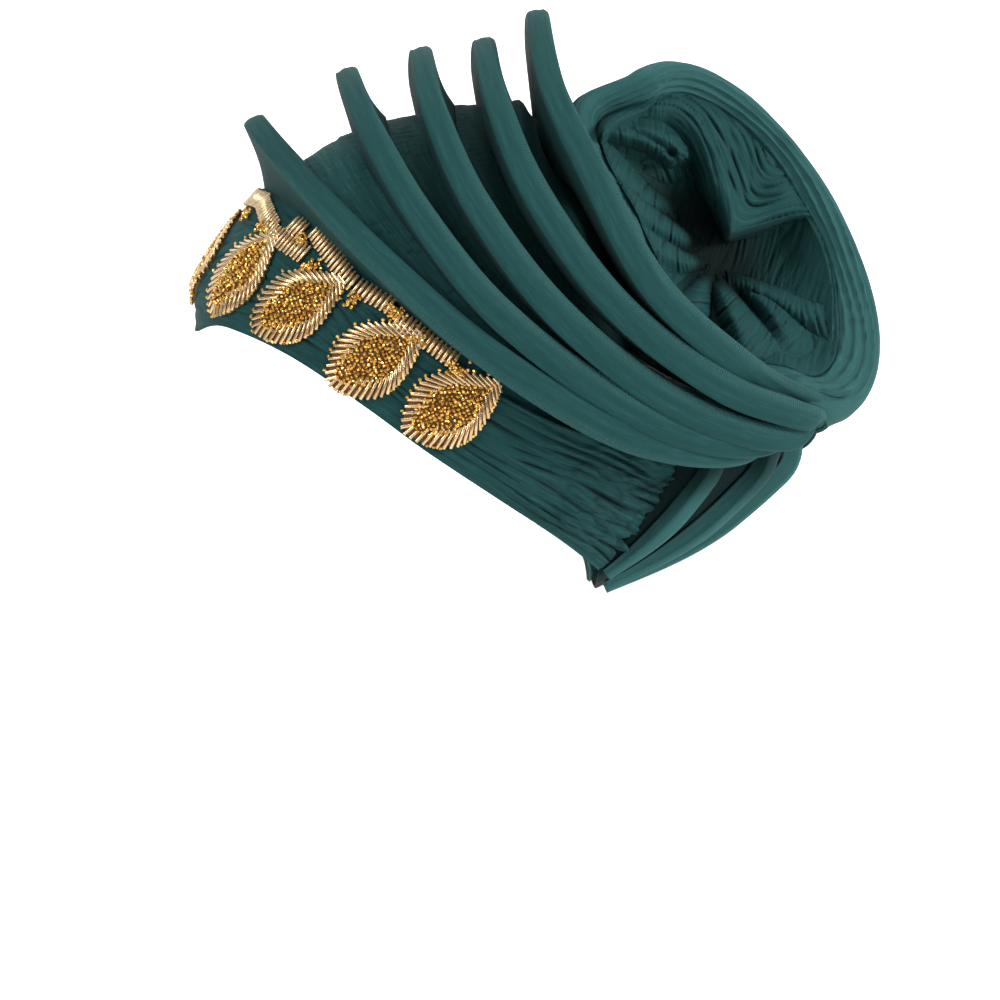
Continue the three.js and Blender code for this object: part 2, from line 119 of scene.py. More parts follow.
# Folds of the rosette heart, as seen along the line of sight: the crest line in millimetres to the
# right of and above the rosette's middle, its height over the rim, and how far the fold reaches to
# the left and to the right of the line at both ends
HOLE_X, HOLE_Y, HOLE_DEEP = -14.2, -4.7, -31.0
FOLDS = [
    {"name": "far_ridge", "x": [-7.6, 3.9, 15.4, 26.1, 42.5], "y": [-13.8, -17.2, -22.2, -27.5, -32.0],
     "high": [-30, -21, -14, -8, -2], "left": (3, 5), "right": (4, 10)},
    {"name": "roll", "x": [-10.9, -8.0, -3.5, 2.0, 8.0], "y": [-14.6, -22.0, -31.0, -40.0, -49.0],
     "high": [-31, -19, -11, -8, -7], "left": (3, 13), "right": (3, 12)},
    {"name": "wedge", "x": [2.0, 11.0, 17.5, 23.0], "y": [-18.5, -26.0, -34.0, -43.0],
     "high": [-24, -14, -9, -7], "left": (4, 10), "right": (4, 10)},
    {"name": "cone", "x": [-13.3, -17.4, -20.7], "y": [-12.4, -19.2, -27.0],
     "high": [-31, -19, -11], "left": (2, 8), "right": (2, 9)},
    {"name": "near_low", "x": [-17.6, -22.5, -28.9, -37.9, -46.0], "y": [-8.6, -8.4, -7.2, -2.8, 2.0],
     "high": [-29, -19, -13, -9, -8], "left": (2.5, 9), "right": (3.5, 9)},
    {"name": "near_high", "x": [-20.5, -27.3, -37.1, -47.8, -56.0], "y": [-0.6, 2.6, 7.9, 15.3, 22.0],
     "high": [-30, -19, -12, -8, -7], "left": (3, 10), "right": (4, 9)},
    {"name": "near_top", "x": [-31.0, -34.6, -42.9, -55.2, -63.0], "y": [12.0, 15.3, 19.6, 30.4, 37.0],
     "high": [-29, -24, -15, -9, -7], "left": (3, 8), "right": (4, 9)},
    {"name": "top_edge", "x": [-65.7, -54.9, -42.1, -30.5], "y": [51.1, 47.6, 44.6, 37.8],
     "high": [-5, -6, -7, -9], "left": (16, 7), "right": (5, 5)},
    {"name": "tongue", "x": [-48.0, -40.0, -32.0, -27.0], "y": [50.5, 48.5, 44.5, 39.5],
     "high": [-7, -4, -4, -6.5], "left": (6, 6.5), "right": (6, 5.5)},
    {"name": "drape", "x": [-28.0, -38.0, -47.5, -56.0, -63.0], "y": [70.0, 63.0, 56.5, 50.0, 44.0],
     "high": [2, 2, 1, -1, -4], "left": (5, 4), "right": (16, 10)},
]
SMOOTH_FOLDS = ("tongue", "drape")
# Edges of the rosette's big lobe, with the reach of the wall below each
LOBE_LEFT = {"x": [-44.2, -31.3, -22.7, -14.2, -9.8, -7.0, -5.4],
             "y": [58.8, 59.2, 54.1, 41.6, 29.6, 17.6, 4.4],
             "high": [-3, -3, -3, -3.5, -4, -5, -8], "wall": (7, 11, 3.5)}
LOBE_LOW = {"x": [-5.4, 4.7, 15.5, 26.0, 37.5], "y": [4.4, 7.6, 11.5, 14.5, 15.0],
            "high": [-8, -7, -5, -3, -1], "wall": (3.5, 3.5, 3.0)}
LOBE_PLACES, LOBE_ROUND = (0.0, 0.7, 1.0), 3.5
DIMPLE_X, DIMPLE_Y, DIMPLE_REACH = -30.9, 39.4, 8.0

LEAVES = [(0, 9, 90), (29.5, 9, 72), (52, 8.2, 51), (75.5, 5.4, 52), (96, 3.2, 50)]
LEAF_LENGTH, LEAF_WIDTH = 49.0, 32.5
TRIM_LIFT = 2.9

# Ladders of bugle beads above the leaves: turn and rise of both ends of each
LADDERS = [
    {"turn": (0, 17), "rise": (21.6, 22.2)},
    {"turn": (17.5, 31), "rise": (22.0, 18.6)},
    {"turn": (32, 46), "rise": (17.6, 16.6)},
    {"turn": (36.5, 41), "rise": (21.0, 20.6)},
    {"turn": (44.5, 62), "rise": (21.6, 15.8)},
    {"turn": (63.5, 73), "rise": (15.4, 15.0)},
    {"turn": (76, 92), "rise": (13.4, 10.8)},
]
# Clusters of seed beads between the ladders: turn, rise and count
CLUSTERS = [(14, 18.5, 22), (27, 17.6, 26), (42.5, 18.9, 34), (50, 15.4, 22),
            (64, 12.9, 24), (74.5, 14.2, 40), (82, 11.2, 18), (93.5, 9.6, 30)]
BUGLE_SHADE, SEED_SHADE = (0.42, 0.34, 0.26), (0.5, 0.34, 0.18)
BACKING = (0.24, 0.125, 0.035)

# Columns and rows of the cloth grids
CAP_GRID, BAND_GRID, PLEAT_STEPS = (321, 90), (381, 84), 261
POUCH_GRID, POUCH_ROLL_ROWS, RIB_ROWS, RIB_ROLL_ROWS = (161, 70), 45, 70, 20
RIM_GRID, HEART_GRID = (381, 76), (511, 86)
RIB_WALL, SOFTEN_REACH, TICK_PITCH = 1.2, 7, 1.1

# How each cloth looks: spacing and depth of its creases, strength of its streaks and of the painted highlight
# on raised threads, painted shade on the walls off a pleat's face, ticks across a pleat's rear edge with a
# painted highlight there, U where painted shade starts and is darkest, and painted shade and painted light
# over the whole piece
FINISHES = {
    "teal valley": {"pitch": 1.6, "depth": 1.0, "painted_shade_span": (25.0, 115.0)},
    "teal crinkle": {"pitch": 1.6, "depth": 0.9, "shade": 0.35},
    "teal smooth": {"pitch": 2.2, "depth": 0.16, "streak": 0.26, "walls": 0.6, "ribs": 0.35, "shade": 0.2},
    "teal shade": {"pitch": 1.8, "depth": 0.6, "shade": 0.8},
    "teal ribbed": {"pitch": 2.6, "depth": 0.2, "streak": 0.2, "walls": 0.6, "painted_light": 0.36},
    "teal layered": {"pitch": 1.7, "depth": 0.5, "streak": 0.25, "painted_light": 0.24},
    "teal folded": {"pitch": 1.6, "depth": 0.8, "streak": 0.3, "shade": 0.35},
}

# Stage, in metres and watts: each light's place, aim and power
STAGE_SIZE, FLOOR_DROP, BACKDROP_X, FLOOR_COLOUR = 14.0, 0.16, -3.5, (0.94, 0.94, 0.94, 1.0)
PICTURE, PIXELS_PER_METRE, ORIGIN_PIXEL, SENSOR = 1000.0, 2330.0, (418.0, 330.0), 36.0
ROOM_LIGHT, LIGHT_SIZE = 0.27, 0.8
LIGHTS = {
    "key": ((1.5, -1.6, 1.3), (0, 0.03, 0.0), 29.0),
    "top": ((0.2, -0.1, 1.9), (0, 0.05, 0.0), 15.0),
    "rear": ((0.9, 2.3, 0.9), (0, 0.1, 0.0), 52.0),
}


def unit(v):
    v = np.asarray(v, float)
    return v / np.maximum(np.linalg.norm(v, axis=-1, keepdims=True), 1e-12)


ROSETTE_FACES = unit([0.643, 0.647, 0.411])
ROSETTE_LONG = unit([0.018, 0.524, -0.852])
ROSETTE_SIDE = unit(np.cross(ROSETTE_LONG, ROSETTE_FACES))
SIGHT = unit([0.998, -0.0349, 0.0523])
SEEN_RIGHT = unit([0.0349, 0.9994, 0.0])
SEEN_UP = unit(np.cross(SIGHT, SEEN_RIGHT))


# Measures


def ease(value):
    value = np.clip(value, 0.0, 1.0)
    return value * value * (3.0 - 2.0 * value)


def mix(a, b, share):
    return a + (b - a) * share


def look_up(places, values, at):
    """Value at a place between the knots of a table, on a smooth curve that is level at both ends."""
    places, values = np.asarray(places, float), np.asarray(values, float)
    at = np.clip(at, places[0], places[-1])
    last = np.clip(np.searchsorted(places, at, side="left"), 1, len(places) - 1)
    slope = np.gradient(values, places)
    slope[[0, -1]] = 0.0
    wide = places[last] - places[last - 1]
    t = (at - places[last - 1]) / wide
    leave, arrive, rise = slope[last - 1] * wide, slope[last] * wide, values[last] - values[last - 1]
    curve = 3 * rise - 2 * leave - arrive + t * (leave + arrive - 2 * rise)
    return values[last - 1] + t * (leave + t * curve)


def stack(x, y, z):
    return np.stack(np.broadcast_arrays(x, y, z), axis=-1).astype(float)


def cap_point(turn, rise, lift):
    turn, rise = np.radians(turn), np.radians(rise)
    x = (CAP_HALF[0] + lift) * np.cos(rise) * np.sin(turn)
    tuck = BROW_TUCK * np.maximum(0.0, np.cos(turn)) ** 2 * ease((4.0 - np.degrees(rise)) / 10.0)
    y = -(CAP_HALF[1] + lift - tuck) * np.cos(rise) * np.cos(turn)
    z = (CAP_HALF[2] + lift) * np.sin(rise)
    back = math.cos(LEAN) * y + math.sin(LEAN) * z
    up = math.cos(LEAN) * z - math.sin(LEAN) * y
    return stack(x, CAP_Y + back, CAP_Z + up)


def leaned(v):
    y = math.cos(LEAN) * v[..., 1] - math.sin(LEAN) * v[..., 2]
    z = math.sin(LEAN) * v[..., 1] + math.cos(LEAN) * v[..., 2]
    return stack(v[..., 0], y, z)


def cap_normal(point):
    n = leaned(point - np.array([0.0, CAP_Y, CAP_Z])) / CAP_HALF**2
    y = math.cos(LEAN) * n[..., 1] + math.sin(LEAN) * n[..., 2]
    z = math.cos(LEAN) * n[..., 2] - math.sin(LEAN) * n[..., 1]
    return unit(stack(n[..., 0], y, z))


def reach_cap(point, direction, lift, deepest):
    size = CAP_HALF + lift
    p = leaned(point - np.array([0.0, CAP_Y, CAP_Z])) / size
    d = leaned(direction) / size
    a, b, c = (d * d).sum(-1), (p * d).sum(-1), (p * p).sum(-1) - 1.0
    inside = b * b - a * c
    way = (-b - np.sqrt(np.maximum(inside, 0.0))) / a
    way = np.where((inside < 0) | (way <= 0), deepest, way)
    return np.minimum(way, deepest)


def band_point(turn, up, lift):
    away = np.abs(turn)
    rise = mix(look_up(HEM_TURN, HEM_RISE, away) - 0.8, look_up(HEM_TURN, BAND_TOP, away), up)
    swing = mix(12.0, 20.0, up) * ease((away - 95.0) / 55.0)
    return cap_point(turn, rise, BAND_LIFT + lift + swing)


def band_end(up):
    return mix(BAND_REACH, BAND_REACH + 3.0, up)


def bend(a, b, c, share):
    share = np.asarray(share)[..., None]
    return (1 - share) ** 2 * a + 2 * share * (1 - share) * b + share**2 * c


def pouch_point(across, up, lift):
    sign = np.where(across < 0, -1.0, 1.0)
    side = band_point(sign * (band_end(up) + 0.6), up, lift - POUCH_STEP)
    hem = cap_point(180.0, -18.3, 0.4 + lift)
    out = np.array([0.0, 118.0 + lift * 0.7, -92.5 - lift * 0.8])
    top = np.array([0.0, POUCH_BACK + lift, POUCH_TOP])
    middle = bend(hem, out, top, up)
    turned = np.radians(90.0 * np.abs(across))
    y = mix(side[..., 1], middle[..., 1], np.cos(turned))
    z = mix(side[..., 2], middle[..., 2], np.cos(turned))
    return stack(side[..., 0] * np.sin(turned), y, z)


def pouch_roll(across, over, lift):
    edge = pouch_point(across, np.ones_like(across), lift)
    share = mix(0.6, 1.0, np.cos(np.radians(90.0 * across)))[..., None]
    end = mix(edge, cap_point(180.0 - across * 32.0, 33.0, 1.0 + lift), share)
    middle = mix(edge, end, 0.15)
    middle[..., 2] += 20.0 * share[..., 0]
    return bend(edge, middle, end, over)


def near_share(angle):
    """Share of the near side, where the rim dips and lies flat behind the last pleat."""
    a = np.radians(angle)
    top = np.cos(a) < 0
    return ease((np.sin(a) - np.where(top, 0.0, 0.5)) / 0.4) * np.where(top, 0.8, 1.0)


def rim_height(up, angle):
    near = near_share(angle)
    return up * mix(1.0, RIM_NEAR_FLAT, near) - RIM_NEAR_DROP * near


def mouth_point(angle, share, out, up):
    a = np.radians(angle)
    short = np.where(np.sin(a) > 0, RIM_NEAR, RIM_FAR)
    out = out + CORNER_OUT * ease(1.0 - np.abs(angle - CORNER_AT) / CORNER_HALF)
    along = ((RIM_LONG + out) * share * np.cos(a))[..., None]
    beside = ((short + out) * share * np.sin(a))[..., None]
    flat = ROSETTE_AT + ROSETTE_LONG * along + ROSETTE_SIDE * beside
    return flat + ROSETTE_FACES * np.asarray(up)[..., None]


def low_spread(angle):
    """How much further the rim's lined inside reaches in at the bottom of the rosette."""
    return LOW_SPREAD * ease((np.cos(np.radians(angle)) - 0.2) / 0.6)


def clear_of_cap(points, wall):
    """Points of the rosette, moved out along its axis where their back would enter the cap."""
    start = points + ROSETTE_FACES * (120.0 - wall)
    way = reach_cap(start, -ROSETTE_FACES + 0 * start, 0.4, 1000.0)
    return points + ROSETTE_FACES * np.maximum(0, 120.0 - way)[..., None]


def spine(row):
    """Knots of a pleat's middle line from right to left, and the number of the one on the crown."""
    side = np.array([row["y"], row["z"]], float).T
    side = np.column_stack([STATION_X, side])
    right = np.vstack([side, side[-1] + np.array(RIGHT_TAIL, float)]) * np.array([-1.0, 1.0, 1.0])
    if row["tail"] == "rim":
        around = np.array(RIM_TAIL, float)
        tail = mouth_point(around, np.ones(3), 7.0 + 0 * around, 4.0 + 0 * around)
    else:
        tail = side[-1] + np.array(TAILS[row["tail"]], float)
    return np.vstack([right[:0:-1], side, tail]), len(right) - 1


def spine_point(knots, along):
    first = 2 * knots[0] - knots[1]
    last = 2 * knots[-1] - knots[-2]
    p = np.vstack([first, knots, last])
    place = np.clip(along, 0, 1) * (len(knots) - 1)
    step = np.minimum(place.astype(int), len(knots) - 2)
    t = (place - step)[..., None]
    p0, p1, p2, p3 = (p[step + k] for k in range(4))
    d0, d1, d2 = (np.maximum(np.linalg.norm(b - a, axis=-1, keepdims=True), 1e-6) ** 0.5
                  for a, b in ((p0, p1), (p1, p2), (p2, p3)))
    t1 = ((p1 - p0) / d0 - (p2 - p0) / (d0 + d1) + (p2 - p1) / d1) * d1
    t2 = ((p2 - p1) / d1 - (p3 - p1) / (d1 + d2) + (p3 - p2) / d2) * d1
    c2 = -3 * p1 + 3 * p2 - 2 * t1 - t2
    c3 = 2 * p1 - 2 * p2 + t1 + t2
    return p1 + t1 * t + c2 * t * t + c3 * t**3


# Wrinkles


def wobble(u, v, seed, fine_u, fine_v, waves=7):
    """A smooth random value near -1 to 1 over a surface, with the given lengths of its waves."""
    dice = np.random.default_rng(seed)
    total = np.zeros(np.broadcast(u, v).shape)
    for _ in range(waves):
        a, b, c = dice.uniform(0.5, 1.4), dice.uniform(-1.2, 1.2), dice.uniform(0, 6.28)
        total = total + np.sin(6.28 * (a * u / fine_u + b * v / fine_v) + c)
    return total / math.sqrt(waves)


def creases(u, v, pitch, seed, wander=0.6, length=60.0):
    """Rounded ridges with narrow valleys that run along v, a pitch apart, and fade in and out."""
    shift = wander * wobble(u, v, seed, pitch * 9, length * 0.9)
    phase = u / pitch + shift
    ridge = np.abs(np.sin(np.pi * phase)) ** 0.7
    depth = 0.55 + 0.45 * wobble(u, v, seed + 1, pitch * 4, length * 0.5)
    return (ridge - 0.6) * np.clip(depth, 0.05, 1.3)


def run_length(line):
    """Length run from the start of a line of points to each of them."""
    return np.concatenate([[0], np.cumsum(np.linalg.norm(np.diff(line, axis=0), axis=1))])


def soften(points, reach=SOFTEN_REACH):
    """Rows of points, each moved to the mean of its neighbours up to a reach away."""
    padded = np.concatenate([points[:1]] * reach + [points] + [points[-1:]] * reach)
    return sum(padded[k:k + len(points)] for k in range(2 * reach + 1)) / (2 * reach + 1)


# Meshes


def surface_normals(points):
    return unit(np.cross(np.gradient(points, axis=1), np.gradient(points, axis=0)))


def cloth(name, points, uv, wall, outward, joined=False, shade=None):
    """A cloth wall on a grid of points in millimetres, with a UV map in millimetres.
    outward is the way out at the middle of the grid. joined closes the grid onto itself.
    shade, from 0 to 1, is the painted shade of each point, deepest down in folds."""
    rows, columns = points.shape[:2]
    normal = surface_normals(points)[rows // 2, columns // 2]
    shade = np.zeros((rows, columns)) if shade is None else shade
    if np.dot(normal, outward) < 0:
        points, uv, shade = points[:, ::-1], uv[:, ::-1], shade[:, ::-1]
    bpy.ops.object.select_all(action="DESELECT")
    bpy.ops.mesh.primitive_grid_add(x_subdivisions=columns - 1, y_subdivisions=rows - 1, size=1.0)
    piece = bpy.context.object
    piece.name = piece.data.name = name
    mesh = piece.data
    mesh.vertices.foreach_set("co", (points.reshape(-1, 3) * MM).ravel())
    corner = np.empty(len(mesh.loops), dtype=np.int64)
    mesh.loops.foreach_get("vertex_index", corner)
    mesh.uv_layers[0].name = "cloth"
    mesh.uv_layers[0].data.foreach_set("uv", uv.reshape(-1, 2)[corner].ravel())
    deep = mesh.attributes.new("shade", "FLOAT", "POINT")
    deep.data.foreach_set("value", shade.ravel().astype(np.float32))
    mesh.update()
    if joined:
        bpy.ops.object.mode_set(mode="EDIT")
        bpy.ops.mesh.select_all(action="SELECT")
        bpy.ops.mesh.remove_doubles(threshold=0.00002)
        bpy.ops.object.mode_set(mode="OBJECT")
    thick = piece.modifiers.new("wall", "SOLIDIFY")
    thick.thickness = wall * MM
    thick.offset = -1.0
    bpy.ops.object.modifier_apply(modifier=thick.name)
    bpy.ops.object.shade_smooth()
    return piece


def declare(piece, node):
    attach(piece, "root")
    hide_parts(node)


def declare_sheet(piece, node, material):
    """Gives a cloth piece its finish, attaches it to the root body and hides the part it stands for."""
    piece.data.materials.clear()
    piece.data.materials.append(material)
    declare(piece, node)


# Shader maths


class Socket:
    """A shader value that can be used in a Python expression."""

    def __init__(self, tree, link):
        self.tree, self.link = tree, link

    def _math(self, operation, a, b=None):
        return self.tree.node("ShaderNodeMath", {"operation": operation}, {0: a, 1: b})[0]

    def __add__(self, other):
        return self._math("ADD", self, other)

    def __radd__(self, other):
        return self._math("ADD", other, self)

    def __sub__(self, other):
        return self._math("SUBTRACT", self, other)

    def __rsub__(self, other):
        return self._math("SUBTRACT", other, self)

    def __mul__(self, other):
        return self._math("MULTIPLY", self, other)

    def __rmul__(self, other):
        return self._math("MULTIPLY", other, self)

    def wave(self):
        return self._math("SINE", self)

    def size(self):
        return self._math("ABSOLUTE", self)

    def over(self, low, high):
        return self.tree.node("ShaderNodeMapRange", {"interpolation_type": "SMOOTHSTEP"},
                              {"Value": self, "From Min": low, "From Max": high})[0]


class Finish:
    """A material and its node tree."""

    def __init__(self, name):
        self.material = bpy.data.materials.new(name)
        self.material.use_nodes = True
        self.nodes = self.material.node_tree.nodes
        self.links = self.material.node_tree.links
        self.shader = self.nodes["Principled BSDF"]

    def node(self, kind, settings=None, inputs=None):
        made = self.nodes.new(kind)
        for key, value in (settings or {}).items():
            setattr(made, key, value)
        for key, value in (inputs or {}).items():
            if value is not None:
                self.put(made.inputs[key], value)
        return [Socket(self, out) for out in made.outputs]

    def put(self, socket, value):
        if isinstance(value, Socket):
            self.links.new(value.link, socket)
        else:
            socket.default_value = value

    def set(self, **values):
        for key, value in values.items():
            self.put(self.shader.inputs[key.replace("_", " ")], value)

    def cloth_uv(self):
        uv = self.node("ShaderNodeUVMap", {"uv_map": "cloth"})[0]
        x, y, _ = self.node("ShaderNodeSeparateXYZ", None, {0: uv})
        return x, y

    def noise(self, x, y, scale_x, scale_y, detail=2.0, rough=0.5, z=0.0):
        place = self.node("ShaderNodeCombineXYZ", None, {0: x * scale_x, 1: y * scale_y, 2: z})[0]
        return self.node("ShaderNodeTexNoise", {"noise_dimensions": "3D"},
                         {"Vector": place, "Scale": 1.0, "Detail": detail, "Roughness": rough})[0]

    def blend(self, share, a, b):
        a, b = (colour if isinstance(colour, Socket) else (*colour, 1.0) for colour in (a, b))
        return self.node("ShaderNodeMix", {"data_type": "RGBA"}, {0: share, 6: a, 7: b})[2]

    def bump(self, height, strength, distance):
        self.put(self.shader.inputs["Normal"], self.node(
            "ShaderNodeBump", None, {"Strength": strength, "Distance": distance, "Height": height})[0])


def teal_finish(name, looks):
    """Crinkled or smooth teal knit. Creases and threads run along the V of the cloth's own map. Painted shade
    darkens its creases, walls and folds, and painted highlight lightens its raised threads.
    """
    row = {"streak": 0.4, "walls": 0.0, "ribs": 0.0, "painted_shade_span": None, "shade": 0.0, "painted_light": 0.0}
    row.update(FINISHES[name])
    pitch, streak, ribs = row["pitch"], row["streak"], row["ribs"]
    made = Finish(name)
    u, v = made.cloth_uv()
    slow = made.noise(u, v, 0.05, 0.02, 3.0)
    crease = made.noise(u, v, 1.0 / pitch, 0.05 / pitch, 3.0, 0.6)
    thread = made.noise(u, v, 2.4, 0.12, 2.0, 0.5, 7.0)
    grain = made.noise(u, v, 2.4, 2.4, 2.0, 0.6, 3.0)
    # Random streaks and grain of tone, with painted shade where the crease noise dips into a crease
    tone = (slow - 0.5) * streak + (crease - 0.5) * (streak * 2.0) + (grain - 0.5) * 0.55 + 0.78
    body = made.blend(tone.over(0.0, 1.0), looks.cloth_tone_and_shade, looks.cloth_mid)
    # Painted highlight on the raised threads, where crease and thread noise are high
    lit = made.blend((crease * thread).over(0.24, 0.46) * streak, body, looks.cloth_highlight)
    height = crease * row["depth"] + thread * 0.14 + grain * 0.16
    if ribs:
        # Ticks across a pleat's rear edge, raised, with a painted highlight along that edge that is strongest
        # on the ticks
        strip = (u + 1.0).over(0.0, -4.5) * (u + 8.5).over(0.0, 1.5) * v.size().over(50.0, 140.0)
        tick = (v * (2.0 * math.pi / TICK_PITCH) + grain * 2.5).wave() * 0.5 + 0.5
        lit = made.blend(strip * (tick * 0.26 + 0.26), lit, looks.cloth_highlight)
        height = height + tick * strip * ribs
    if row["walls"]:
        # Painted shade on the walls off a pleat's face
        lit = made.blend(u.size().over(7.0, 11.0) * row["walls"], lit, looks.cloth_tone_and_shade)
    if row["painted_shade_span"]:
        # Painted shade that grows along U, on the cap darker towards the later pleats
        lit = made.blend(u.over(*row["painted_shade_span"]) * 0.8, lit, looks.cloth_tone_and_shade)
    if row["shade"]:
        # Painted shade over the whole piece, a shaded copy of the same cloth
        lit = made.blend(row["shade"], lit, looks.cloth_tone_and_shade)
    if row["painted_light"]:
        # Painted light over the whole piece, a lit copy of the same cloth
        lit = made.blend(row["painted_light"], lit, looks.cloth_highlight)
    # Painted shade stored on the points as the shade attribute, darkest at a third of the dark colour
    fold = made.node("ShaderNodeAttribute", {"attribute_name": "shade"})[2]
    lit = made.blend(fold, lit, tuple(c * 0.3 for c in looks.cloth_tone_and_shade))
    made.set(Base_Color=lit, Roughness=mix(0.62, 0.82, grain), Specular_IOR_Level=0.12)
    made.set(Sheen_Weight=0.03, Sheen_Roughness=0.4, Sheen_Tint=(0.45, 0.8, 0.78, 1.0))
    made.bump(height, 0.9, 0.0011)
    return made.material


def bead_finish(name, colour, shade, rough, metal, coat):
    """Foiled glass beads, each with its own tone."""
    made = Finish(name)
    dark = tuple(c * s for c, s in zip(colour, shade))
    tone = made.node("ShaderNodeAttribute", {"attribute_name": "tone"})[2]
    place = made.node("ShaderNodeTexCoord")[3]
    speck = made.node("ShaderNodeTexNoise", None, {"Vector": place, "Scale": 900.0, "Detail": 1.0})[0]
    made.set(Base_Color=made.blend(tone, dark, colour), Metallic=metal, Coat_Weight=coat, Coat_Roughness=0.08)
    made.set(Roughness=mix(rough, rough + 0.16, speck))
    return made.material


def backing_finish(name, colour):
    made = Finish(name)
    place = made.node("ShaderNodeTexCoord")[3]
    weave = made.node("ShaderNodeTexNoise", None, {"Vector": place, "Scale": 1400.0, "Detail": 2.0})[0]
    dark = tuple(c * 0.6 for c in colour)
    made.set(Base_Color=made.blend(weave, colour, dark), Roughness=0.8)
    made.bump(weave, 0.5, 0.0006)
    return made.material


# Sizes and colours that a user would change


class HEADTIE_PG_cloth(PropertyGroup):
    wall: FloatProperty(name="Wall", description="Thickness of the cloth", default=0.0014, unit="LENGTH")
    # Light colour: painted highlight on raised threads and along a pleat's rear edge, and painted light over
    # lit pieces
    cloth_highlight: FloatVectorProperty(name="Raised thread", description="Colour of the lit threads", size=3,
                                     subtype="COLOR", default=(0.060, 0.178, 0.173))
    cloth_mid: FloatVectorProperty(name="Cloth", description="Main colour of the cloth", size=3,
                                   subtype="COLOR", default=(0.0135, 0.0740, 0.0725))
    # Dark colour: the dark end of the cloth's random tone, and the painted shade in creases, on pleat walls,
    # in folds and over shaded pieces
    cloth_tone_and_shade: FloatVectorProperty(name="Crease", description="Colour down in the creases", size=3,
                                    subtype="COLOR", default=(0.0042, 0.0230, 0.0230))


class HEADTIE_PG_beads(PropertyGroup):
    bugle_length: FloatProperty(name="Bugle length", description="Length of a bugle bead",
                                default=0.0098, unit="LENGTH")
    bugle_width: FloatProperty(name="Bugle width", description="Thickness of a bugle bead",
                               default=0.0017, unit="LENGTH")
    seed_width: FloatProperty(name="Seed width", description="Thickness of a seed bead",
                              default=0.0019, unit="LENGTH")
    bugle_colour: FloatVectorProperty(name="Bugle", description="Colour of the bugle beads", size=3,
                                      subtype="COLOR", default=(0.80, 0.58, 0.32))
    seed_colour: FloatVectorProperty(name="Seed", description="Colour of the seed beads", size=3,
                                     subtype="COLOR", default=(0.93, 0.57, 0.11))


class HEADTIE_PG_stage(PropertyGroup):
    distance: FloatProperty(name="Camera distance", description="From the camera to the piece",
                            default=6.0, unit="LENGTH")
    azimuth: FloatProperty(name="Camera turn", description="Turn from the front",
                           default=math.radians(88.0), subtype="ANGLE")
    elevation: FloatProperty(name="Camera rise", description="Rise above level",
                             default=math.radians(3.0), subtype="ANGLE")


# Operators, one for each piece or group of like pieces


def cap_sweep(points):
    """A number that is 1 on the first standing pleat, 2 on the second and so on, over the whole cap."""
    samples, index = [], []
    for k, row in enumerate(PLEATS):
        knots, crown = spine(row)
        p = spine_point(knots, np.linspace(crown, crown + 4.5, 30) / (len(knots) - 1))
        samples.append(p[:, 1:])
        index.append(np.full(len(p), k + 1.0))
    s, index = np.vstack(samples) / 100.0, np.concatenate(index)

    def terms(yz):
        y, z = yz[..., 0], yz[..., 1]
        return np.stack([np.ones_like(y), y, z, y * y, y * z, z * z, y**3, z**3, y * y * z, y * z * z], -1)

    fit = np.linalg.lstsq(terms(s), index, rcond=None)[0]
    return terms(points[..., 1:] / 100.0) @ fit


class HEADTIE_OT_cap(Operator):
    """Crinkled cap over the head"""

    bl_idname = "headtie.cap"
    bl_label = "Cap"

    def execute(self, context):
        looks = context.scene.headtie_cloth
        columns, rows = CAP_GRID
        turn = np.linspace(-180, 180, columns)
        up = np.linspace(0, 1, rows)[:, None] ** 0.9
        rise = mix(look_up(HEM_TURN, HEM_RISE, np.abs(turn))[None], 89.9, up)
        base = cap_point(turn[None], rise, 0.0)
        sweep = cap_sweep(base) * 30.0
        along = 0.7 * (base[..., 1] - base[..., 2]) + 0.6 * np.abs(base[..., 0])
        fade = ease(up / 0.06) * ease((0.985 - up) / 0.03)
        gathers = creases(sweep, along, 3.4, 11)
        back = base[..., 1]
        crown = 5.5 * np.exp(-(((back - 42.0) / 4.5) ** 2)) - 2.6 * ease((20.0 - back) / 25.0)
        lift = 1.1 * gathers + 0.5 * creases(sweep, along, 2.1, 12, 0.9, 30.0)
        lift = lift + crown * ease((rise - 42.0) / 20.0)
        points = base + cap_normal(base) * (lift * fade)[..., None]
        uv = np.stack([sweep, along], -1)
        # Painted shade down in the gathers
        shade = ease((-gathers - 0.1) / 0.45) * 0.55 * fade
        way = cap_normal(base)[rows // 2, columns // 2]
        piece = cloth("cap", points, uv, looks.wall / MM, way, joined=True, shade=shade)
        declare_sheet(piece, "cap", teal_finish("teal valley", looks))
        return {"FINISHED"}


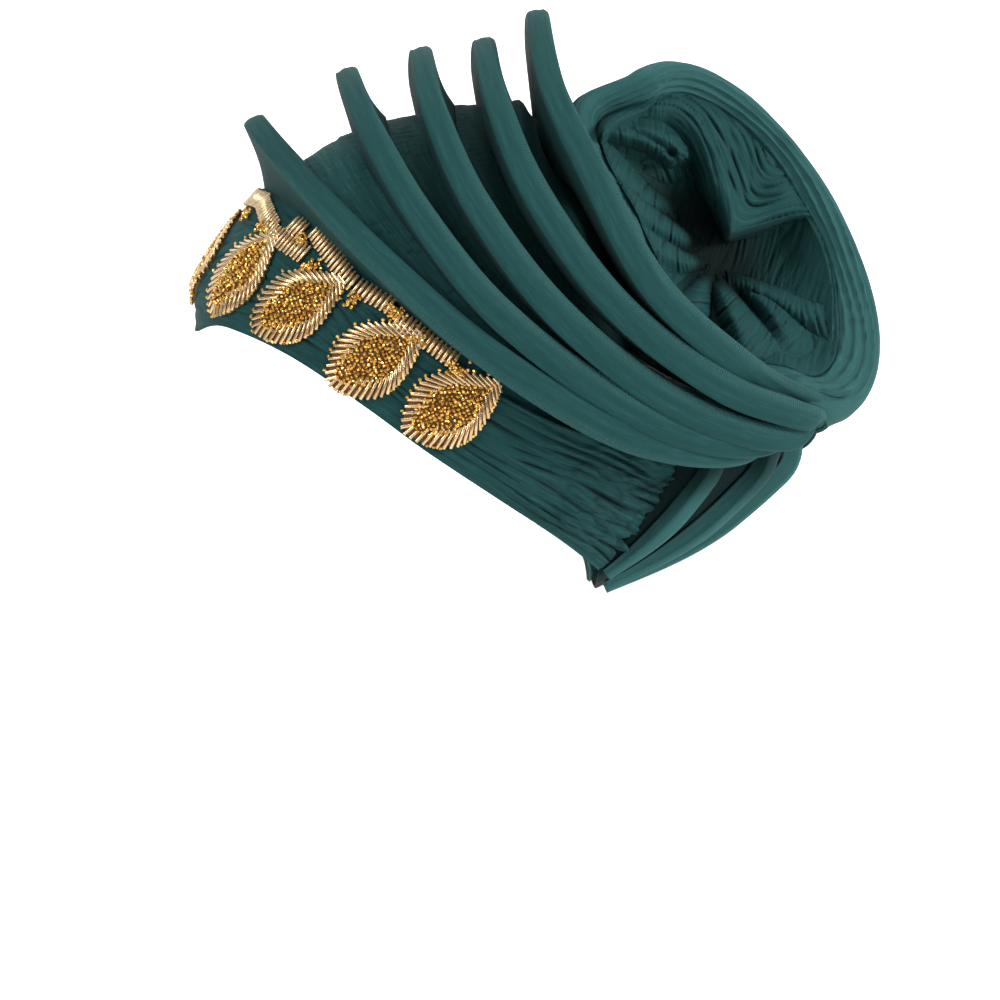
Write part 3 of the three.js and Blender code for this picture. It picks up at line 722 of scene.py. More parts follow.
class HEADTIE_OT_band(Operator):
    """Crinkled brow band with gathered rear ends"""

    bl_idname = "headtie.band"
    bl_label = "Brow band"

    def execute(self, context):
        looks = context.scene.headtie_cloth
        columns, rows = BAND_GRID
        side = np.linspace(-1, 1, columns)[None]
        up = np.linspace(0, 1, rows)[:, None]
        ragged = 0.9 * wobble(up * 50, 0 * up, 5, 9.0, 1.0) + 0.5 * wobble(up * 50, 0 * up, 6, 3.0, 1.0)
        turn = side * (band_end(up) + ragged * 0.8)
        base = band_point(turn, up, 1.8)
        across = up * 58.0 + 0 * side
        along = turn * 1.75
        rear = ease((np.abs(turn) - 95.0) / 45.0)
        gathers = creases(across, np.abs(along), 5.8, 21, 0.7, 60.0)
        folds = mix(1.0, 3.8, rear) * gathers
        fine = mix(0.55, 0.7, rear) * creases(across, np.abs(along), 2.8, 22, 0.9, 40.0)
        swirl = wobble(across, along, 23, 8.0, 9.0)
        gathered = ease((np.abs(turn) - 112.0) / 20.0)
        curls = gathered * 1.5 * np.clip(swirl, 0, 1.2)
        hem = ease(up / 0.16) * ease((1 - up) / 0.04)
        points = base + cap_normal(base) * ((folds + fine + curls) * hem - 0.6)[..., None]
        uv = np.stack([across, along], -1)
        # Painted shade in rings round the curls and down in the gathers, stronger towards the rear ends
        curl_shade = ease(1.0 - np.abs(swirl - 0.25) / 0.3) * gathered * 0.6
        shade = np.maximum(ease((-gathers - 0.03) / 0.3) * mix(0.6, 0.95, rear), curl_shade) * hem
        way = cap_normal(base)[rows // 2, columns // 2]
        piece = cloth("brow_band", points, uv, looks.wall / MM, way, shade=shade)
        declare_sheet(piece, "brow_band", teal_finish("teal crinkle", looks))
        return {"FINISHED"}


def pleat_wall(row, seed):
    """Points, UV and outward way of one standing pleat: front wall, flat face and rear wall."""
    knots, top = spine(row)
    along = np.linspace(0, 1, PLEAT_STEPS)
    at = spine_point(knots, along)
    forward = unit(np.gradient(at, axis=0))
    place = along * (len(knots) - 1) - top
    station = np.abs(place)
    away = station / 5.0
    crown = np.array([0.0, -math.sin(math.radians(row["lean"])), math.cos(math.radians(row["lean"]))])
    flank = cap_normal(at)
    flank[:, 1] = flank[:, 1] * 0.25 - 0.12
    outward = unit(mix(crown, unit(flank), ease(np.abs(at[:, :1]) / 70.0)))
    if row["tail"] == "rim":
        radial = at - ROSETTE_AT
        radial = unit(radial - ROSETTE_FACES * (radial @ ROSETTE_FACES)[:, None])
        around = unit(0.8 * SIGHT + 0.6 * radial)
        outward = unit(mix(outward, around, ease((place - 4.0) / 2.0)[:, None]))
    across = unit(np.cross(forward, outward))
    up = unit(np.cross(across, forward))
    if (across * np.array([0.0, -1.0, 0.6])).sum() < 0:
        across = -across
    half = np.interp(station, range(len(STATION_WIDTH)), STATION_WIDTH) / 2
    middle = mix(48.0, 28.0, ease((away - 0.2) / 0.2))
    deepest = mix(middle, 22.0, ease((away - 0.62) / 0.25)) * mix(1.0, 0.3, ease((away - 1.0) / 0.3))
    if row["tail"] != "over":
        deepest = deepest * mix(1.0, 0.12, ease((place - 4.0) / 0.8))
    flare = 4.0 * ease((0.6 - away) / 0.3)
    front_deep = reach_cap(at + across * half[:, None], -up, 0.4, deepest)
    rear_deep = reach_cap(at - across * (half + flare)[:, None], -up, 0.4, deepest)
    bulge = mix(0.5, 1.6, ease((away - 0.35) / 0.4))
    side, out, chart = [], [], []
    for share in np.linspace(1, 0, 9)[:-1]:
        side.append(half)
        out.append(-1.0 - (front_deep - 1.0) * share)
        chart.append(7.0 + (front_deep - 1.0) * share)
    for turned in np.radians([10, 40, 70]):
        side.append(half - 1.0 + np.cos(turned))
        out.append(-1.0 + np.sin(turned) + 0 * half)
        chart.append(6.9 - 0.7 * turned + 0 * half)
    for share in np.linspace(0.80, -0.66, 11):
        side.append(half * share)
        out.append(bulge * (1 - share**2) * np.minimum(1, half / 6))
        chart.append(6.0 * share + 0 * half)
    for turned in np.radians([72, 50, 28, 8]):
        side.append(-half + 2.0 - 2.0 * np.cos(turned))
        out.append(-2.0 + 2.0 * np.sin(turned) + 0 * half)
        chart.append(-4.4 - 1.8 * (1.26 - turned) + 0 * half)
    for share in np.linspace(0, 1, 10)[1:]:
        side.append(-half - flare * share**3)
        out.append(-2.0 - (rear_deep - 2.0) * share)
        chart.append(-6.8 - (rear_deep - 2.0) * share)
    side, out, chart = np.array(side).T, np.array([o + 0 * half for o in out]).T, np.array(chart).T
    run = run_length(at)
    ripple = 0.18 * wobble(chart * 3, run[:, None] + 0 * chart, seed, 18.0, 40.0)
    points = at[:, None] + across[:, None] * side[..., None] + up[:, None] * (out + ripple)[..., None]
    uv = np.stack([chart, np.broadcast_to((run - run[-1] / 2)[:, None], chart.shape)], -1)
    return points, uv, up[len(up) // 2]


class HEADTIE_OT_pleats(Operator):
    """Standing pleats that sweep from the crown to the back"""

    bl_idname = "headtie.pleats"
    bl_label = "Standing pleats"

    def execute(self, context):
        looks = context.scene.headtie_cloth
        material = teal_finish("teal smooth", looks)
        for number, row in enumerate(PLEATS, start=1):
            points, uv, up = pleat_wall(row, 30 + number)
            piece = cloth(f"pleat_{number}", points, uv, looks.wall / MM, up)
            declare_sheet(piece, f"pleat_{number}", material)
        return {"FINISHED"}


class HEADTIE_OT_pouch(Operator):
    """Pouch behind the nape"""

    bl_idname = "headtie.pouch"
    bl_label = "Nape pouch"

    def execute(self, context):
        looks = context.scene.headtie_cloth
        columns, rows = POUCH_GRID
        middle = (rows // 2, columns // 2)
        across = np.linspace(-1, 1, columns)[None]
        up = np.linspace(0, 1, rows)[:, None]
        low = pouch_point(across + 0 * up, up + 0 * across, 1.8)
        over = np.linspace(0, 1, POUCH_ROLL_ROWS + 1)[1:, None]
        roll = pouch_roll(across + 0 * over, over + 0 * across, 1.8)
        base = soften(np.vstack([low, roll]))
        way = surface_normals(base)
        if np.dot(way[middle], NAPE_WAY) < 0:
            way = -way
        flat = np.vstack([up * 85, 85 + over * 60]) + 0 * across
        lift = 0.5 * creases(across * 75 + 0 * flat, flat, 4.2, 41)
        points = base + way * (lift - 0.4)[..., None]
        uv = np.stack([across * 75 + 0 * flat, flat], -1)
        # Painted shade over the whole pouch, which shows only in the dark gaps between the ribs
        piece = cloth("nape_pouch", points, uv, looks.wall / MM, way[middle], shade=0.8 + 0 * flat)
        declare_sheet(piece, "nape_pouch", teal_finish("teal shade", looks))
        return {"FINISHED"}


class HEADTIE_OT_nape_pleats(Operator):
    """Ribs that fan up over the nape pouch"""

    bl_idname = "headtie.nape_pleats"
    bl_label = "Nape pleats"

    def execute(self, context):
        ribbed = teal_finish("teal ribbed", context.scene.headtie_cloth)
        for name, place in NAPE_PLEATS:
            points, uv, out, shade = self.rib(place)
            piece = cloth(name, points, uv, RIB_WALL, out, shade=shade)
            declare_sheet(piece, name, ribbed)
        return {"FINISHED"}

    def line(self, place, reach, lift=2.2):
        """Points up the pouch and over its roll, as far as the reach."""
        up, over = np.linspace(0.04, 1.0, RIB_ROWS), np.linspace(0.02, reach, RIB_ROLL_ROWS)
        low = pouch_point(place + 0 * up, up, lift)
        return soften(np.vstack([low, pouch_roll(place + 0 * over, over, lift)]))

    def rib(self, place):
        """Points, UV, outward way and shade of one rib: two walls and a rounded edge."""
        reach = mix(0.85, 0.4, ease(abs(place) / 0.4))
        at, aside = self.line(place, reach), self.line(place + 0.01, reach)
        share_up = np.linspace(0, 1, len(at))
        middle = len(at) // 2
        beside = unit(aside - at)
        along = unit(np.gradient(at, axis=0))
        out = unit(np.cross(beside, along))
        if np.dot(out[middle], NAPE_WAY) < 0:
            out = -out
        side_way = unit(np.cross(along, out))
        grown = ease(share_up / 0.5)
        half = mix(2.3, 3.3, grown)
        tall = mix(3.6, 8.4, grown)
        side, high, chart = [], [], []
        for share in np.linspace(0, 1, 8):
            side.append(-half - 1.0 * (1 - share) ** 2)
            high.append(0.1 + (tall - 2.1) * share)
            chart.append(-6 - 6 * (1 - share) + 0 * half)
        for turned in np.radians(np.linspace(170, 10, 11)):
            side.append(half * np.cos(turned))
            high.append(tall - 2.0 + 2.0 * np.sin(turned))
            chart.append(6 * np.cos(turned) + 0 * half)
        for share in np.linspace(1, 0, 8):
            side.append(half + 1.0 * (1 - share) ** 2)
            high.append(0.1 + (tall - 2.1) * share)
            chart.append(6 + 6 * (1 - share) + 0 * half)
        side, high, chart = np.array(side).T, np.array(high).T, np.array(chart).T
        run = run_length(at)
        points = at[:, None] + side_way[:, None] * side[..., None] + out[:, None] * high[..., None]
        uv = np.stack([chart, np.broadcast_to(run[:, None], chart.shape)], -1)
        # Painted shade on the upper part of the inner and outer ribs, which lies under the pleats
        dim = 0.7 * ease(abs(place) / 0.4) * ease((share_up - 0.5) / 0.3)[:, None]
        return points, uv, out[middle], dim + 0 * chart


class HEADTIE_OT_rosette_rim(Operator):
    """Layered rim of the rosette"""

    bl_idname = "headtie.rosette_rim"
    bl_label = "Rosette rim"

    def execute(self, context):
        looks = context.scene.headtie_cloth
        points, uv, shade = self.rim()
        piece = cloth("rosette_rim", points, uv, looks.wall / MM, ROSETTE_FACES, joined=True, shade=shade)
        layered = teal_finish("teal layered", looks)
        declare_sheet(piece, "rosette_rim", layered)
        return {"FINISHED"}

    def rim(self):
        """Points, UV and shade of the rim: its rounded section, carried round the mouth in layers."""
        columns, rows = RIM_GRID
        angle = np.linspace(0, 360, columns)[None]
        knots = np.arange(len(RIM_OUT))
        smooth = np.linspace(0, knots[-1], 33)
        place = np.linspace(0, knots[-1], rows)
        soft = np.ones(5) / 5
        out = np.convolve(np.pad(np.interp(smooth, knots, RIM_OUT), 2, "edge"), soft, "valid") * RIM_HALF
        up = np.convolve(np.pad(np.interp(smooth, knots, RIM_UP), 2, "edge"), soft, "valid")
        out, up = np.interp(place, smooth, out), np.interp(place, smooth, up)
        across = run_length(np.stack([out, up], -1))[:, None]
        run_out, run_up = np.gradient(out), np.gradient(up)
        size = np.hypot(run_out, run_up)
        way_out, way_up = (run_up / size)[:, None], (-run_out / size)[:, None]
        spiral = across + 3.0 * angle / 360.0 + 0.8 * np.sin(np.radians(angle * 2))
        ring_x, ring_y = 40.0 * np.cos(np.radians(angle)), 40.0 * np.sin(np.radians(angle))
        drift = 0.25 * wobble(ring_x + 2 * across, ring_y, 51, 60, 60)
        layers = np.abs(np.sin(np.pi * (spiral / 3.0 + drift))) ** 0.5
        fine = wobble(across + ring_x * 0.2, ring_y, 52, 3.0, 50.0)
        lined = ease((across - 30.0) / 6.0)
        lift = (2.0 * (layers - 0.8) * lined + 0.12 * fine) * ease(across / 4.0)
        # Painted shade down between the layers
        shade = ease((0.55 - layers) / 0.5) * 0.55 * lined
        inner = ease((across - 32.0) / (across[-1] - 32.0))
        out = out[:, None] - way_out * lift - low_spread(angle) * inner
        up = up[:, None] - way_up * lift
        points = mouth_point(angle + 0 * across, np.ones_like(across + angle), out, rim_height(up, angle))
        points = clear_of_cap(points, 2.0)
        points[:, -1] = points[:, 0]
        return points, np.stack([across + 0 * angle, angle * 1.2 + 0 * across], -1), shade


class HEADTIE_OT_rosette_heart(Operator):
    """Folded heart of the rosette"""

    bl_idname = "headtie.rosette_heart"
    bl_label = "Rosette heart"

    def execute(self, context):
        looks = context.scene.headtie_cloth
        points, uv, shade = self.heart()
        piece = cloth("rosette_heart", points, uv, looks.wall / MM, ROSETTE_FACES, joined=True, shade=shade)
        material = teal_finish("teal folded", looks)
        declare_sheet(piece, "rosette_heart", material)
        return {"FINISHED"}

    def heart(self):
        """Folds of the heart, as a depth along the line of sight over what is seen of it."""
        columns, rows = HEART_GRID
        angle = np.linspace(0, 360, columns)[None]
        share = np.linspace(1.0, 0.004, rows)[:, None]
        rim_high = rim_height(0.8, angle)
        lip = RIM_LIP * RIM_HALF - low_spread(angle)
        edge = mouth_point(angle, np.ones_like(angle), lip, rim_high) - ROSETTE_AT
        x = mix(HOLE_X, edge @ SEEN_RIGHT, share)
        y = mix(HOLE_Y, edge @ SEEN_UP, share)
        base = HOLE_DEEP * (1 - share**2) + rim_high * share**2
        high, lines, course, calm = base + 0.0, x - 0.3 * y, y + 0.3 * x, 0.7 + 0 * x
        for fold in FOLDS:
            off, along, crest, length = self.beside(x, y, fold)
            wide = np.where(off > 0, mix(*fold["left"], along), mix(*fold["right"], along))
            shape = np.clip(1 - (np.abs(off) / wide) ** 1.9, 0, 1)
            raised = mix(base, np.maximum(crest, base), shape)
            wins = raised > high + 1e-6
            ways = (off, along * length) if fold["name"] == "drape" else (along * length + 0.35 * off, off)
            lines, course = np.where(wins, ways[0], lines), np.where(wins, ways[1], course)
            calm = np.where(wins, 0.4 if fold["name"] in SMOOTH_FOLDS else 1.0, calm)
            high = np.maximum(high, raised)
        spoke_x, spoke_y = x - DIMPLE_X, y - DIMPLE_Y
        reach = np.hypot(spoke_x, spoke_y)
        spoked = (reach < DIMPLE_REACH) & (spoke_x > -4.0) & (high > -14.0)
        lines = np.where(spoked, 6.0 * np.arctan2(spoke_y, spoke_x), lines)
        calm = np.where(spoked, 0.8, calm)
        high = high - 3.5 * np.exp(-((reach / 2.2) ** 2))
        lobe, within = self.lobe(x, y, base, share, rim_high)
        on_lobe = lobe > high
        lines, course = np.where(on_lobe, within, lines), np.where(on_lobe, x - y, course)
        high = np.maximum(high, lobe)
        high = mix(base, high, ease((1 - share) / 0.06))
        fade = ease(share / 0.14) * ease((1 - share) / 0.03)
        wander = np.where(on_lobe, 0.3, 0.6)
        crinkle = creases(lines, course, 3.5, 62, wander, 60.0)
        crinkle = crinkle + 0.6 * creases(lines, course, 2.3, 63, wander, 40.0)
        calm = np.where(on_lobe, 1.0, calm)
        high = high + mix(1.3, 1.8, on_lobe) * crinkle * fade * calm
        # Painted shade in the hollows of the crinkles and deep in the heart's hole
        crinkle_shade = ease((-crinkle - 0.02) / 0.45) * 0.9 * fade * calm
        shade = np.maximum(ease((-19.0 - high) / 11.0), crinkle_shade)
        tilt = x * (SEEN_RIGHT @ ROSETTE_FACES) + y * (SEEN_UP @ ROSETTE_FACES)
        deep = (high - tilt) / (SIGHT @ ROSETTE_FACES)
        points = ROSETTE_AT + x[..., None] * SEEN_RIGHT + y[..., None] * SEEN_UP + deep[..., None] * SIGHT
        points = clear_of_cap(points, 2.2)
        points[:, -1] = points[:, 0]
        return points, np.stack([lines, course], -1), shade

    def lobe(self, x, y, base, share, rim_high):
        """Height of the big lobe between its two edges, and the distance inside them."""
        left, left_along, left_crest, _ = self.beside(x, y, LOBE_LEFT)
        low, low_along, low_crest, _ = self.beside(x, y, LOBE_LOW)
        first = ease(0.5 + (low - left) / 10.0)
        nearest = np.minimum(left, low)
        rounded = -LOBE_ROUND * np.logaddexp(-left / LOBE_ROUND, -low / LOBE_ROUND)
        within = mix(nearest, rounded, ease(nearest / 4.0))
        left_wall = np.interp(left_along, LOBE_PLACES, LOBE_LEFT["wall"])
        wall = mix(np.interp(low_along, LOBE_PLACES, LOBE_LOW["wall"]), left_wall, first)
        crest = mix(low_crest, left_crest, first) - 2.5 * ease(within / 9.0)
        top = mix(crest, rim_high, ease((share - 0.6) / 0.4))
        shape = np.clip(1 - (np.maximum(0, 2.0 - within) / (wall + 2.0)) ** 1.9, 0, 1)
        return mix(base, np.maximum(top, base), shape), within

    def beside(self, x, y, fold):
        """Signed distance from a fold's crest line, share along it, height of the crest and length."""
        knots = np.array([fold["x"], fold["y"], fold["high"]], float).T
        line = spine_point(knots, np.linspace(0, 1, 33))
        step = np.diff(line, axis=0)
        size = np.hypot(step[:, 0], step[:, 1])
        best = np.full(x.shape, 1e9)
        off, along, crest = np.zeros(x.shape), np.zeros(x.shape), np.zeros(x.shape)
        for k in range(len(step)):
            dx, dy = x - line[k, 0], y - line[k, 1]
            part = np.clip((dx * step[k, 0] + dy * step[k, 1]) / size[k] ** 2, 0, 1)
            far = np.hypot(dx - part * step[k, 0], dy - part * step[k, 1])
            closer = far < best
            best = np.where(closer, far, best)
            side = np.where(step[k, 0] * dy - step[k, 1] * dx >= 0, 1.0, -1.0)
            off = np.where(closer, far * side, off)
            along = np.where(closer, (k + part) / len(step), along)
            crest = np.where(closer, line[k, 2] + part * step[k, 2], crest)
        return off, along, crest, size.sum()


# Beads


def take_bead():
    """Points and faces of the bead just modelled, which is then removed."""
    bead = bpy.context.object
    points = np.array([v.co[:] for v in bead.data.vertices])
    faces = [tuple(p.vertices) for p in bead.data.polygons]
    bpy.data.objects.remove(bead)
    return points, faces


def bugle_bead(looks):
    """A tube with rounded ends, its length along Z."""
    bpy.ops.object.select_all(action="DESELECT")
    bpy.ops.mesh.primitive_cylinder_add(vertices=8, radius=looks.bugle_width / 2, depth=looks.bugle_length)
    rim = bpy.context.object.modifiers.new("rim", "BEVEL")
    rim.width, rim.segments, rim.limit_method = looks.bugle_width * 0.12, 1, "ANGLE"
    bpy.ops.object.modifier_apply(modifier=rim.name)
    return take_bead()


def seed_bead(looks):
    """A ball flattened along Z."""
    bpy.ops.object.select_all(action="DESELECT")
    bpy.ops.mesh.primitive_uv_sphere_add(segments=7, ring_count=4, radius=looks.seed_width / 2)
    bpy.ops.object.mode_set(mode="EDIT")
    bpy.ops.mesh.select_all(action="SELECT")
    bpy.ops.transform.resize(value=(1.0, 1.0, 0.74))
    bpy.ops.object.mode_set(mode="OBJECT")
    return take_bead()


def lay_beads(bead, places, along, out, width, length, tones):
    """Copies of one bead, each turned to its own way along and way out."""
    points, faces = bead
    x = unit(np.cross(along, out))
    y = unit(np.cross(along, x))
    flat = points[None, :, :1] * x[:, None] + points[None, :, 1:2] * y[:, None]
    turned = flat * width[:, None, None] + points[None, :, 2:] * along[:, None] * length[:, None, None]
    co = places[:, None] * MM + turned
    made = [tuple(i + k * len(points) for i in face) for k in range(len(places)) for face in faces]
    return co.reshape(-1, 3), made, np.repeat(tones, len(points))


def join(groups):
    """Points, faces and tones of several groups as one."""
    faces, offset = [], 0
    for points, made, _ in groups:
        faces += [tuple(i + offset for i in face) for face in made]
        offset += len(points)
    return np.vstack([group[0] for group in groups]), faces, np.concatenate([group[2] for group in groups])


def bead_piece(name, groups, looks):
    """One mesh from its bugles, its seeds and their backing, each with its own finish."""
    points, faces, tones = join(groups)
    mesh = bpy.data.meshes.new(name)
    mesh.from_pydata(points.tolist(), [], faces)
    which = [number for number, group in enumerate(groups) for _ in group[1]]
    mesh.polygons.foreach_set("material_index", which)
    tone = mesh.attributes.new("tone", "FLOAT", "POINT")
    tone.data.foreach_set("value", tones.astype(np.float32))
    for material in trim_finishes(looks):
        mesh.materials.append(material)
    piece = bpy.data.objects.new(name, mesh)
    bpy.context.scene.collection.objects.link(piece)
    bpy.ops.object.select_all(action="DESELECT")
    bpy.context.view_layer.objects.active = piece
    piece.select_set(True)
    bpy.ops.object.shade_smooth_by_angle(angle=math.radians(40))
    return piece


def on_band(turn, rise, lift):
    swing = 16.0 * ease((np.abs(turn) - 95.0) / 55.0)
    return cap_point(turn, rise, lift + swing)


def leaf_frame(turn, rise):
    """Millimetres to a degree of turn and of rise on the band, beside a leaf."""
    wide = np.linalg.norm(on_band(turn + 0.5, rise, TRIM_LIFT) - on_band(turn - 0.5, rise, TRIM_LIFT))
    tall = np.linalg.norm(on_band(turn, rise + 0.5, TRIM_LIFT) - on_band(turn, rise - 0.5, TRIM_LIFT))
    return wide, tall


def leaf_half(along):
    return LEAF_WIDTH / 2 * np.maximum(0.02, np.sin(np.pi * np.clip(along, 0, 1) ** 1.25)) ** 0.75


def trim_finishes(looks):
    """Finishes of the bugles, the seeds and their backing, made at the first call."""
    names = ("champagne bugle", "amber seed", "trim backing")
    if names[0] not in bpy.data.materials:
        bead_finish(names[0], tuple(looks.bugle_colour), BUGLE_SHADE, 0.18, 0.9, 0.3)
        bead_finish(names[1], tuple(looks.seed_colour), SEED_SHADE, 0.1, 0.75, 0.5)
        backing_finish(names[2], BACKING)
    return [bpy.data.materials[name] for name in names]


def lay_seeds(seed, spots, lay, dice):
    """Seed beads at spots that a function lays on the band, each turned its own way."""
    count = len(spots)
    centre = lay(spots[:, 0], spots[:, 1], TRIM_LIFT + 0.9 + dice.uniform(0, 0.9, count))
    size = dice.uniform(0.82, 1.12, count)
    along, out = unit(dice.normal(size=(count, 3))), unit(dice.normal(size=(count, 3)))
    return lay_beads(seed, centre, along, out, size, size, dice.beta(1.3, 1.1, count))


class HEADTIE_OT_leaves(Operator):
    """Bead leaves on the brow band"""

    bl_idname = "headtie.leaves"
    bl_label = "Bead leaves"

    def execute(self, context):
        looks = context.scene.headtie_beads
        beads = bugle_bead(looks), seed_bead(looks)
        for number, (turn, rise, slope) in enumerate(LEAVES):
            for hand, side in ((1, "left"), (-1, "right"))[:2 if number else 1]:
                name = f"leaf_{side}_{number}" if number else "leaf_brow"
                groups = self.leaf(beads, turn * hand, rise, slope, hand, 70 + number)
                declare(bead_piece(name, groups, looks), name)
        return {"FINISHED"}

    def place(self, turn, rise, slope, hand, run, side, lift):
        """Point on the band at a distance along and across a leaf, in millimetres."""
        wide, tall = leaf_frame(turn, rise)
        slope = math.radians(slope)
        along = run * math.cos(slope) - side * math.sin(slope)
        up = run * math.sin(slope) + side * math.cos(slope)
        return on_band(turn + hand * along / wide, rise + up / tall, lift)

    def leaf(self, beads, turn, rise, slope, hand, seed):
        """Feathered border of bugles, middle of seeds and backing of one leaf."""
        dice = np.random.default_rng(seed)

        def lay(run, side, lift):
            return self.place(turn, rise, slope, hand, run, side, lift)

        where, toward, length = self.border()
        middle = where - toward * (4.9 * length)[:, None]
        centre = lay(middle[:, 0], middle[:, 1], TRIM_LIFT + 1.0)
        end = lay(middle[:, 0] + toward[:, 0], middle[:, 1] + toward[:, 1], TRIM_LIFT + 1.0)
        tones = np.clip(dice.normal(0.76, 0.18, len(where)), 0, 1)
        width = dice.uniform(0.92, 1.08, len(where))
        out = cap_normal(centre)
        border = lay_beads(beads[0], centre, unit(end - centre), out, width, length, tones)
        spots = []
        for row, share in enumerate(np.arange(0.08, 0.90, 0.036)):
            run, wide = (0.5 - share) * LEAF_LENGTH, leaf_half(share) - 6.4
            for side in np.arange(-wide + (row % 2) * 0.8, wide + 0.1, 1.65):
                spots.append([run + dice.normal(0, 0.25), side + dice.normal(0, 0.25)])
        for tip, way in zip(where, toward):
            if dice.random() < 0.55:
                spots.append(tip + way * 0.1 + np.array([way[1], -way[0]]) * 1.1)
        return border, lay_seeds(beads[1], np.array(spots), lay, dice), self.plate(lay)

    def border(self):
        """Outer ends, ways out and lengths of the bugles that feather a leaf's border."""
        share = np.linspace(0.0, 1.0, 400)
        run, half = (0.5 - share) * LEAF_LENGTH, leaf_half(share)
        arc = run_length(np.stack([run, half], -1))
        where, toward, length = [], [], []
        for edge in (-1, 1):
            for at in np.arange(5.0, arc[-1] + 0.4, 3.0):
                here, ahead, behind = (
                    np.array([np.interp(at + step, arc, run), np.interp(at + step, arc, half)])
                    for step in (0.0, 0.5, -0.5)
                )
                course = unit(ahead - behind)
                way = unit(np.array([course[1], -course[0]]) + np.array([-0.85, 0.0]))
                where.append(here * np.array([1, edge]))
                toward.append(way * np.array([1, edge]))
                length.append(np.clip((here[1] + 1.5) / 10.5, 0.55, 1.0))
        return np.array(where), np.array(toward), np.array(length)

    def plate(self, lay):
        """Thin backing under the beads of one leaf."""
        share = np.linspace(0.04, 0.96, 12)[:, None]
        over = np.linspace(-1, 1, 5)[None]
        run = (0.5 - share) * LEAF_LENGTH + 0 * over
        side = over * (leaf_half(share) - 1.2)
        return plate_body(lay(run, side, TRIM_LIFT + 0.5), lay(run, side, TRIM_LIFT - 1.2))


class HEADTIE_OT_stem(Operator):
    """Bead stem above the leaves"""

    bl_idname = "headtie.stem"
    bl_label = "Bead stem"

    def execute(self, context):
        looks = context.scene.headtie_beads
        groups = self.stem(bugle_bead(looks), seed_bead(looks))
        declare(bead_piece("bead_stem", groups, looks), "bead_stem")
        return {"FINISHED"}

    def stem(self, bugle, seed):
        """Ladders of bugles, clusters of seeds and backings on both sides of the brow."""
        dice = np.random.default_rng(90)
        turn, rise, plates = [], [], []
        over = np.array([-1.3, 0.0, 1.3])[None]
        for row in LADDERS:
            first, last = np.array([row["turn"], row["rise"]], float).T
            reach = np.linalg.norm(on_band(*last, TRIM_LIFT) - on_band(*first, TRIM_LIFT))
            steps = np.linspace(0, 1, int(round(reach / 2.25)) + 1)
            for hand in (1, -1):
                turn.append(hand * mix(first[0], last[0], steps))
                rise.append(mix(first[1], last[1], steps))
                line, tall = turn[-1][:, None] + 0 * over, rise[-1][:, None] + over
                top, bottom = (on_band(line, tall, TRIM_LIFT + lift) for lift in (0.4, -0.1))
                plates.append(plate_body(top, bottom))
        turn, rise = np.concatenate(turn), np.concatenate(rise)
        centre = on_band(turn, rise, TRIM_LIFT + 1.0)
        end = on_band(turn + np.sign(turn + 1e-6) * 0.12, rise + 0.5, TRIM_LIFT + 1.0)
        tones = np.clip(dice.normal(0.86, 0.14, len(turn)), 0, 1)
        width, length = dice.uniform(0.88, 1.0, len(turn)), dice.uniform(0.84, 0.95, len(turn))
        out = cap_normal(centre)
        ladders = lay_beads(bugle, centre, unit(end - centre), out, width, length, tones)
        spots = []
        for place, high, count in CLUSTERS:
            for hand in (1, -1):
                for _ in range(count):
                    spots.append([hand * (place + dice.normal(0, 1.3)), high + dice.normal(0, 0.7)])
        return ladders, lay_seeds(seed, np.array(spots), on_band, dice), join(plates)


def plate_body(top, bottom):
    """A closed thin plate between two grids of points."""
    rows, columns = top.shape[:2]
    count = rows * columns
    number = np.arange(count).reshape(rows, columns)
    faces = []
    for i in range(rows - 1):
        for j in range(columns - 1):
            a, b, c, d = number[i, j], number[i, j + 1], number[i + 1, j + 1], number[i + 1, j]
            faces += [(a, b, c, d), (d + count, c + count, b + count, a + count)]
    ring = list(number[0]) + list(number[1:, -1]) + list(number[-1, -2::-1]) + list(number[-2:0:-1, 0])
    for a, b in zip(ring, ring[1:] + ring[:1]):
        faces.append((b, a, a + count, b + count))
    way = np.cross(top[1, 0] - top[0, 0], top[0, 1] - top[0, 0])
    if np.dot(way, cap_normal(top[0, 0])) > 0:
        faces = [face[::-1] for face in faces]
    co = np.vstack([top.reshape(-1, 3), bottom.reshape(-1, 3)]) * MM
    return co, [tuple(int(i) for i in face) for face in faces], np.full(2 * count, 0.5)


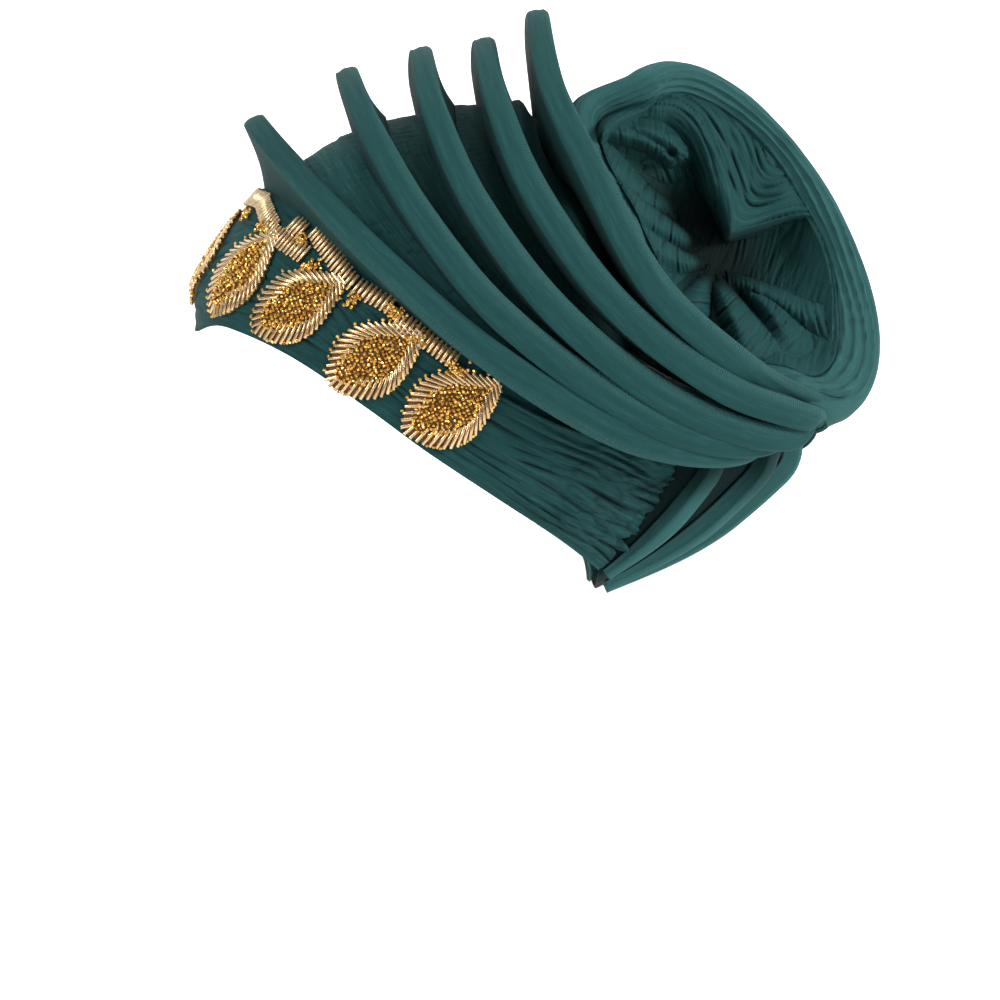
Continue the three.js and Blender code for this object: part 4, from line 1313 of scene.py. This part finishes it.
class HEADTIE_OT_stage(Operator):
    """Floor, soft light and the camera"""

    bl_idname = "headtie.stage"
    bl_label = "Stage"

    def execute(self, context):
        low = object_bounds()[0][2]
        self.plane("floor", (0, 0, low - FLOOR_DROP), (0, 0, 0), "pale floor", 0.12, FLOOR_COLOUR, 0.9)
        self.plane("backdrop", (BACKDROP_X, 0, 0), (0, math.pi / 2, 0), "white backdrop", 1.0)
        self.camera(context)
        self.lights(context)
        return {"FINISHED"}

    def plane(self, name, place, turn, finish, glow, colour=(0.8, 0.8, 0.8, 1.0), rough=0.5):
        bpy.ops.object.select_all(action="DESELECT")
        bpy.ops.mesh.primitive_plane_add(size=STAGE_SIZE, location=place, rotation=turn)
        piece = bpy.context.object
        piece.name = name
        bpy.ops.object.transform_apply(location=True, rotation=True)
        made = Finish(finish)
        made.set(Base_Color=colour, Roughness=rough, Emission_Color=(1, 1, 1, 1), Emission_Strength=glow)
        piece.data.materials.append(made.material)
        piece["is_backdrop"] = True

    def camera(self, context):
        stage = context.scene.headtie_stage
        turn, rise = stage.azimuth, stage.elevation
        back = np.array([math.sin(turn) * math.cos(rise), -math.cos(turn) * math.cos(rise), math.sin(rise)])
        right = np.array([math.cos(turn), math.sin(turn), 0.0])
        up = np.cross(back, right)
        aside, above = ((PICTURE / 2 - pixel) / PIXELS_PER_METRE for pixel in ORIGIN_PIXEL)
        place = aside * right - above * up + back * stage.distance
        bpy.ops.object.camera_add(location=place.tolist(), rotation=(math.pi / 2 - rise, 0, turn))
        camera = context.object
        camera.data.sensor_width = SENSOR
        camera.data.lens = SENSOR * PIXELS_PER_METRE * stage.distance / PICTURE
        camera.data.clip_end = 50.0
        context.scene.camera = camera

    def lights(self, context):
        world = bpy.data.worlds.new("soft room")
        context.scene.world = world
        world.use_nodes = True
        room = world.node_tree.nodes["Background"]
        room.inputs["Color"].default_value = (1.0, 1.0, 1.0, 1.0)
        room.inputs["Strength"].default_value = ROOM_LIGHT
        for name, (place, aim, power) in LIGHTS.items():
            data = bpy.data.lights.new(name, "AREA")
            data.size, data.energy = LIGHT_SIZE, power
            lamp = bpy.data.objects.new(name, data)
            context.scene.collection.objects.link(lamp)
            lamp.location = place
            lamp.rotation_euler = (Vector(aim) - Vector(place)).to_track_quat("-Z", "Y").to_euler()
        context.scene.view_settings.view_transform = "Standard"


OPERATORS = (
    HEADTIE_OT_cap,
    HEADTIE_OT_band,
    HEADTIE_OT_pleats,
    HEADTIE_OT_pouch,
    HEADTIE_OT_nape_pleats,
    HEADTIE_OT_rosette_rim,
    HEADTIE_OT_rosette_heart,
    HEADTIE_OT_leaves,
    HEADTIE_OT_stem,
    HEADTIE_OT_stage,
)


class HEADTIE_PT_panel(Panel):
    """Lists the head tie's pieces"""

    bl_label = "Head tie"
    bl_idname = "HEADTIE_PT_panel"
    bl_space_type = "VIEW_3D"
    bl_region_type = "UI"
    bl_category = "Head tie"

    def draw(self, context):
        for name, kind in GROUPS.items():
            for key in kind.__annotations__:
                self.layout.prop(getattr(context.scene, name), key)
        for operator in OPERATORS:
            self.layout.operator(operator.bl_idname)


GROUPS = {
    "headtie_cloth": HEADTIE_PG_cloth,
    "headtie_beads": HEADTIE_PG_beads,
    "headtie_stage": HEADTIE_PG_stage,
}


def register():
    for kind in (*GROUPS.values(), *OPERATORS, HEADTIE_PT_panel):
        bpy.utils.register_class(kind)
    for key, kind in GROUPS.items():
        setattr(bpy.types.Scene, key, PointerProperty(type=kind))


def unregister():
    for key in GROUPS:
        delattr(bpy.types.Scene, key)
    for kind in (HEADTIE_PT_panel, *reversed(OPERATORS), *GROUPS.values()):
        bpy.utils.unregister_class(kind)


def main():
    register()
    bpy.ops.headtie.cap()
    bpy.ops.headtie.band()
    bpy.ops.headtie.pleats()
    bpy.ops.headtie.pouch()
    bpy.ops.headtie.nape_pleats()
    bpy.ops.headtie.rosette_rim()
    bpy.ops.headtie.rosette_heart()
    bpy.ops.headtie.leaves()
    bpy.ops.headtie.stem()
    bpy.ops.headtie.stage()


if __name__ == "__main__":
    main()
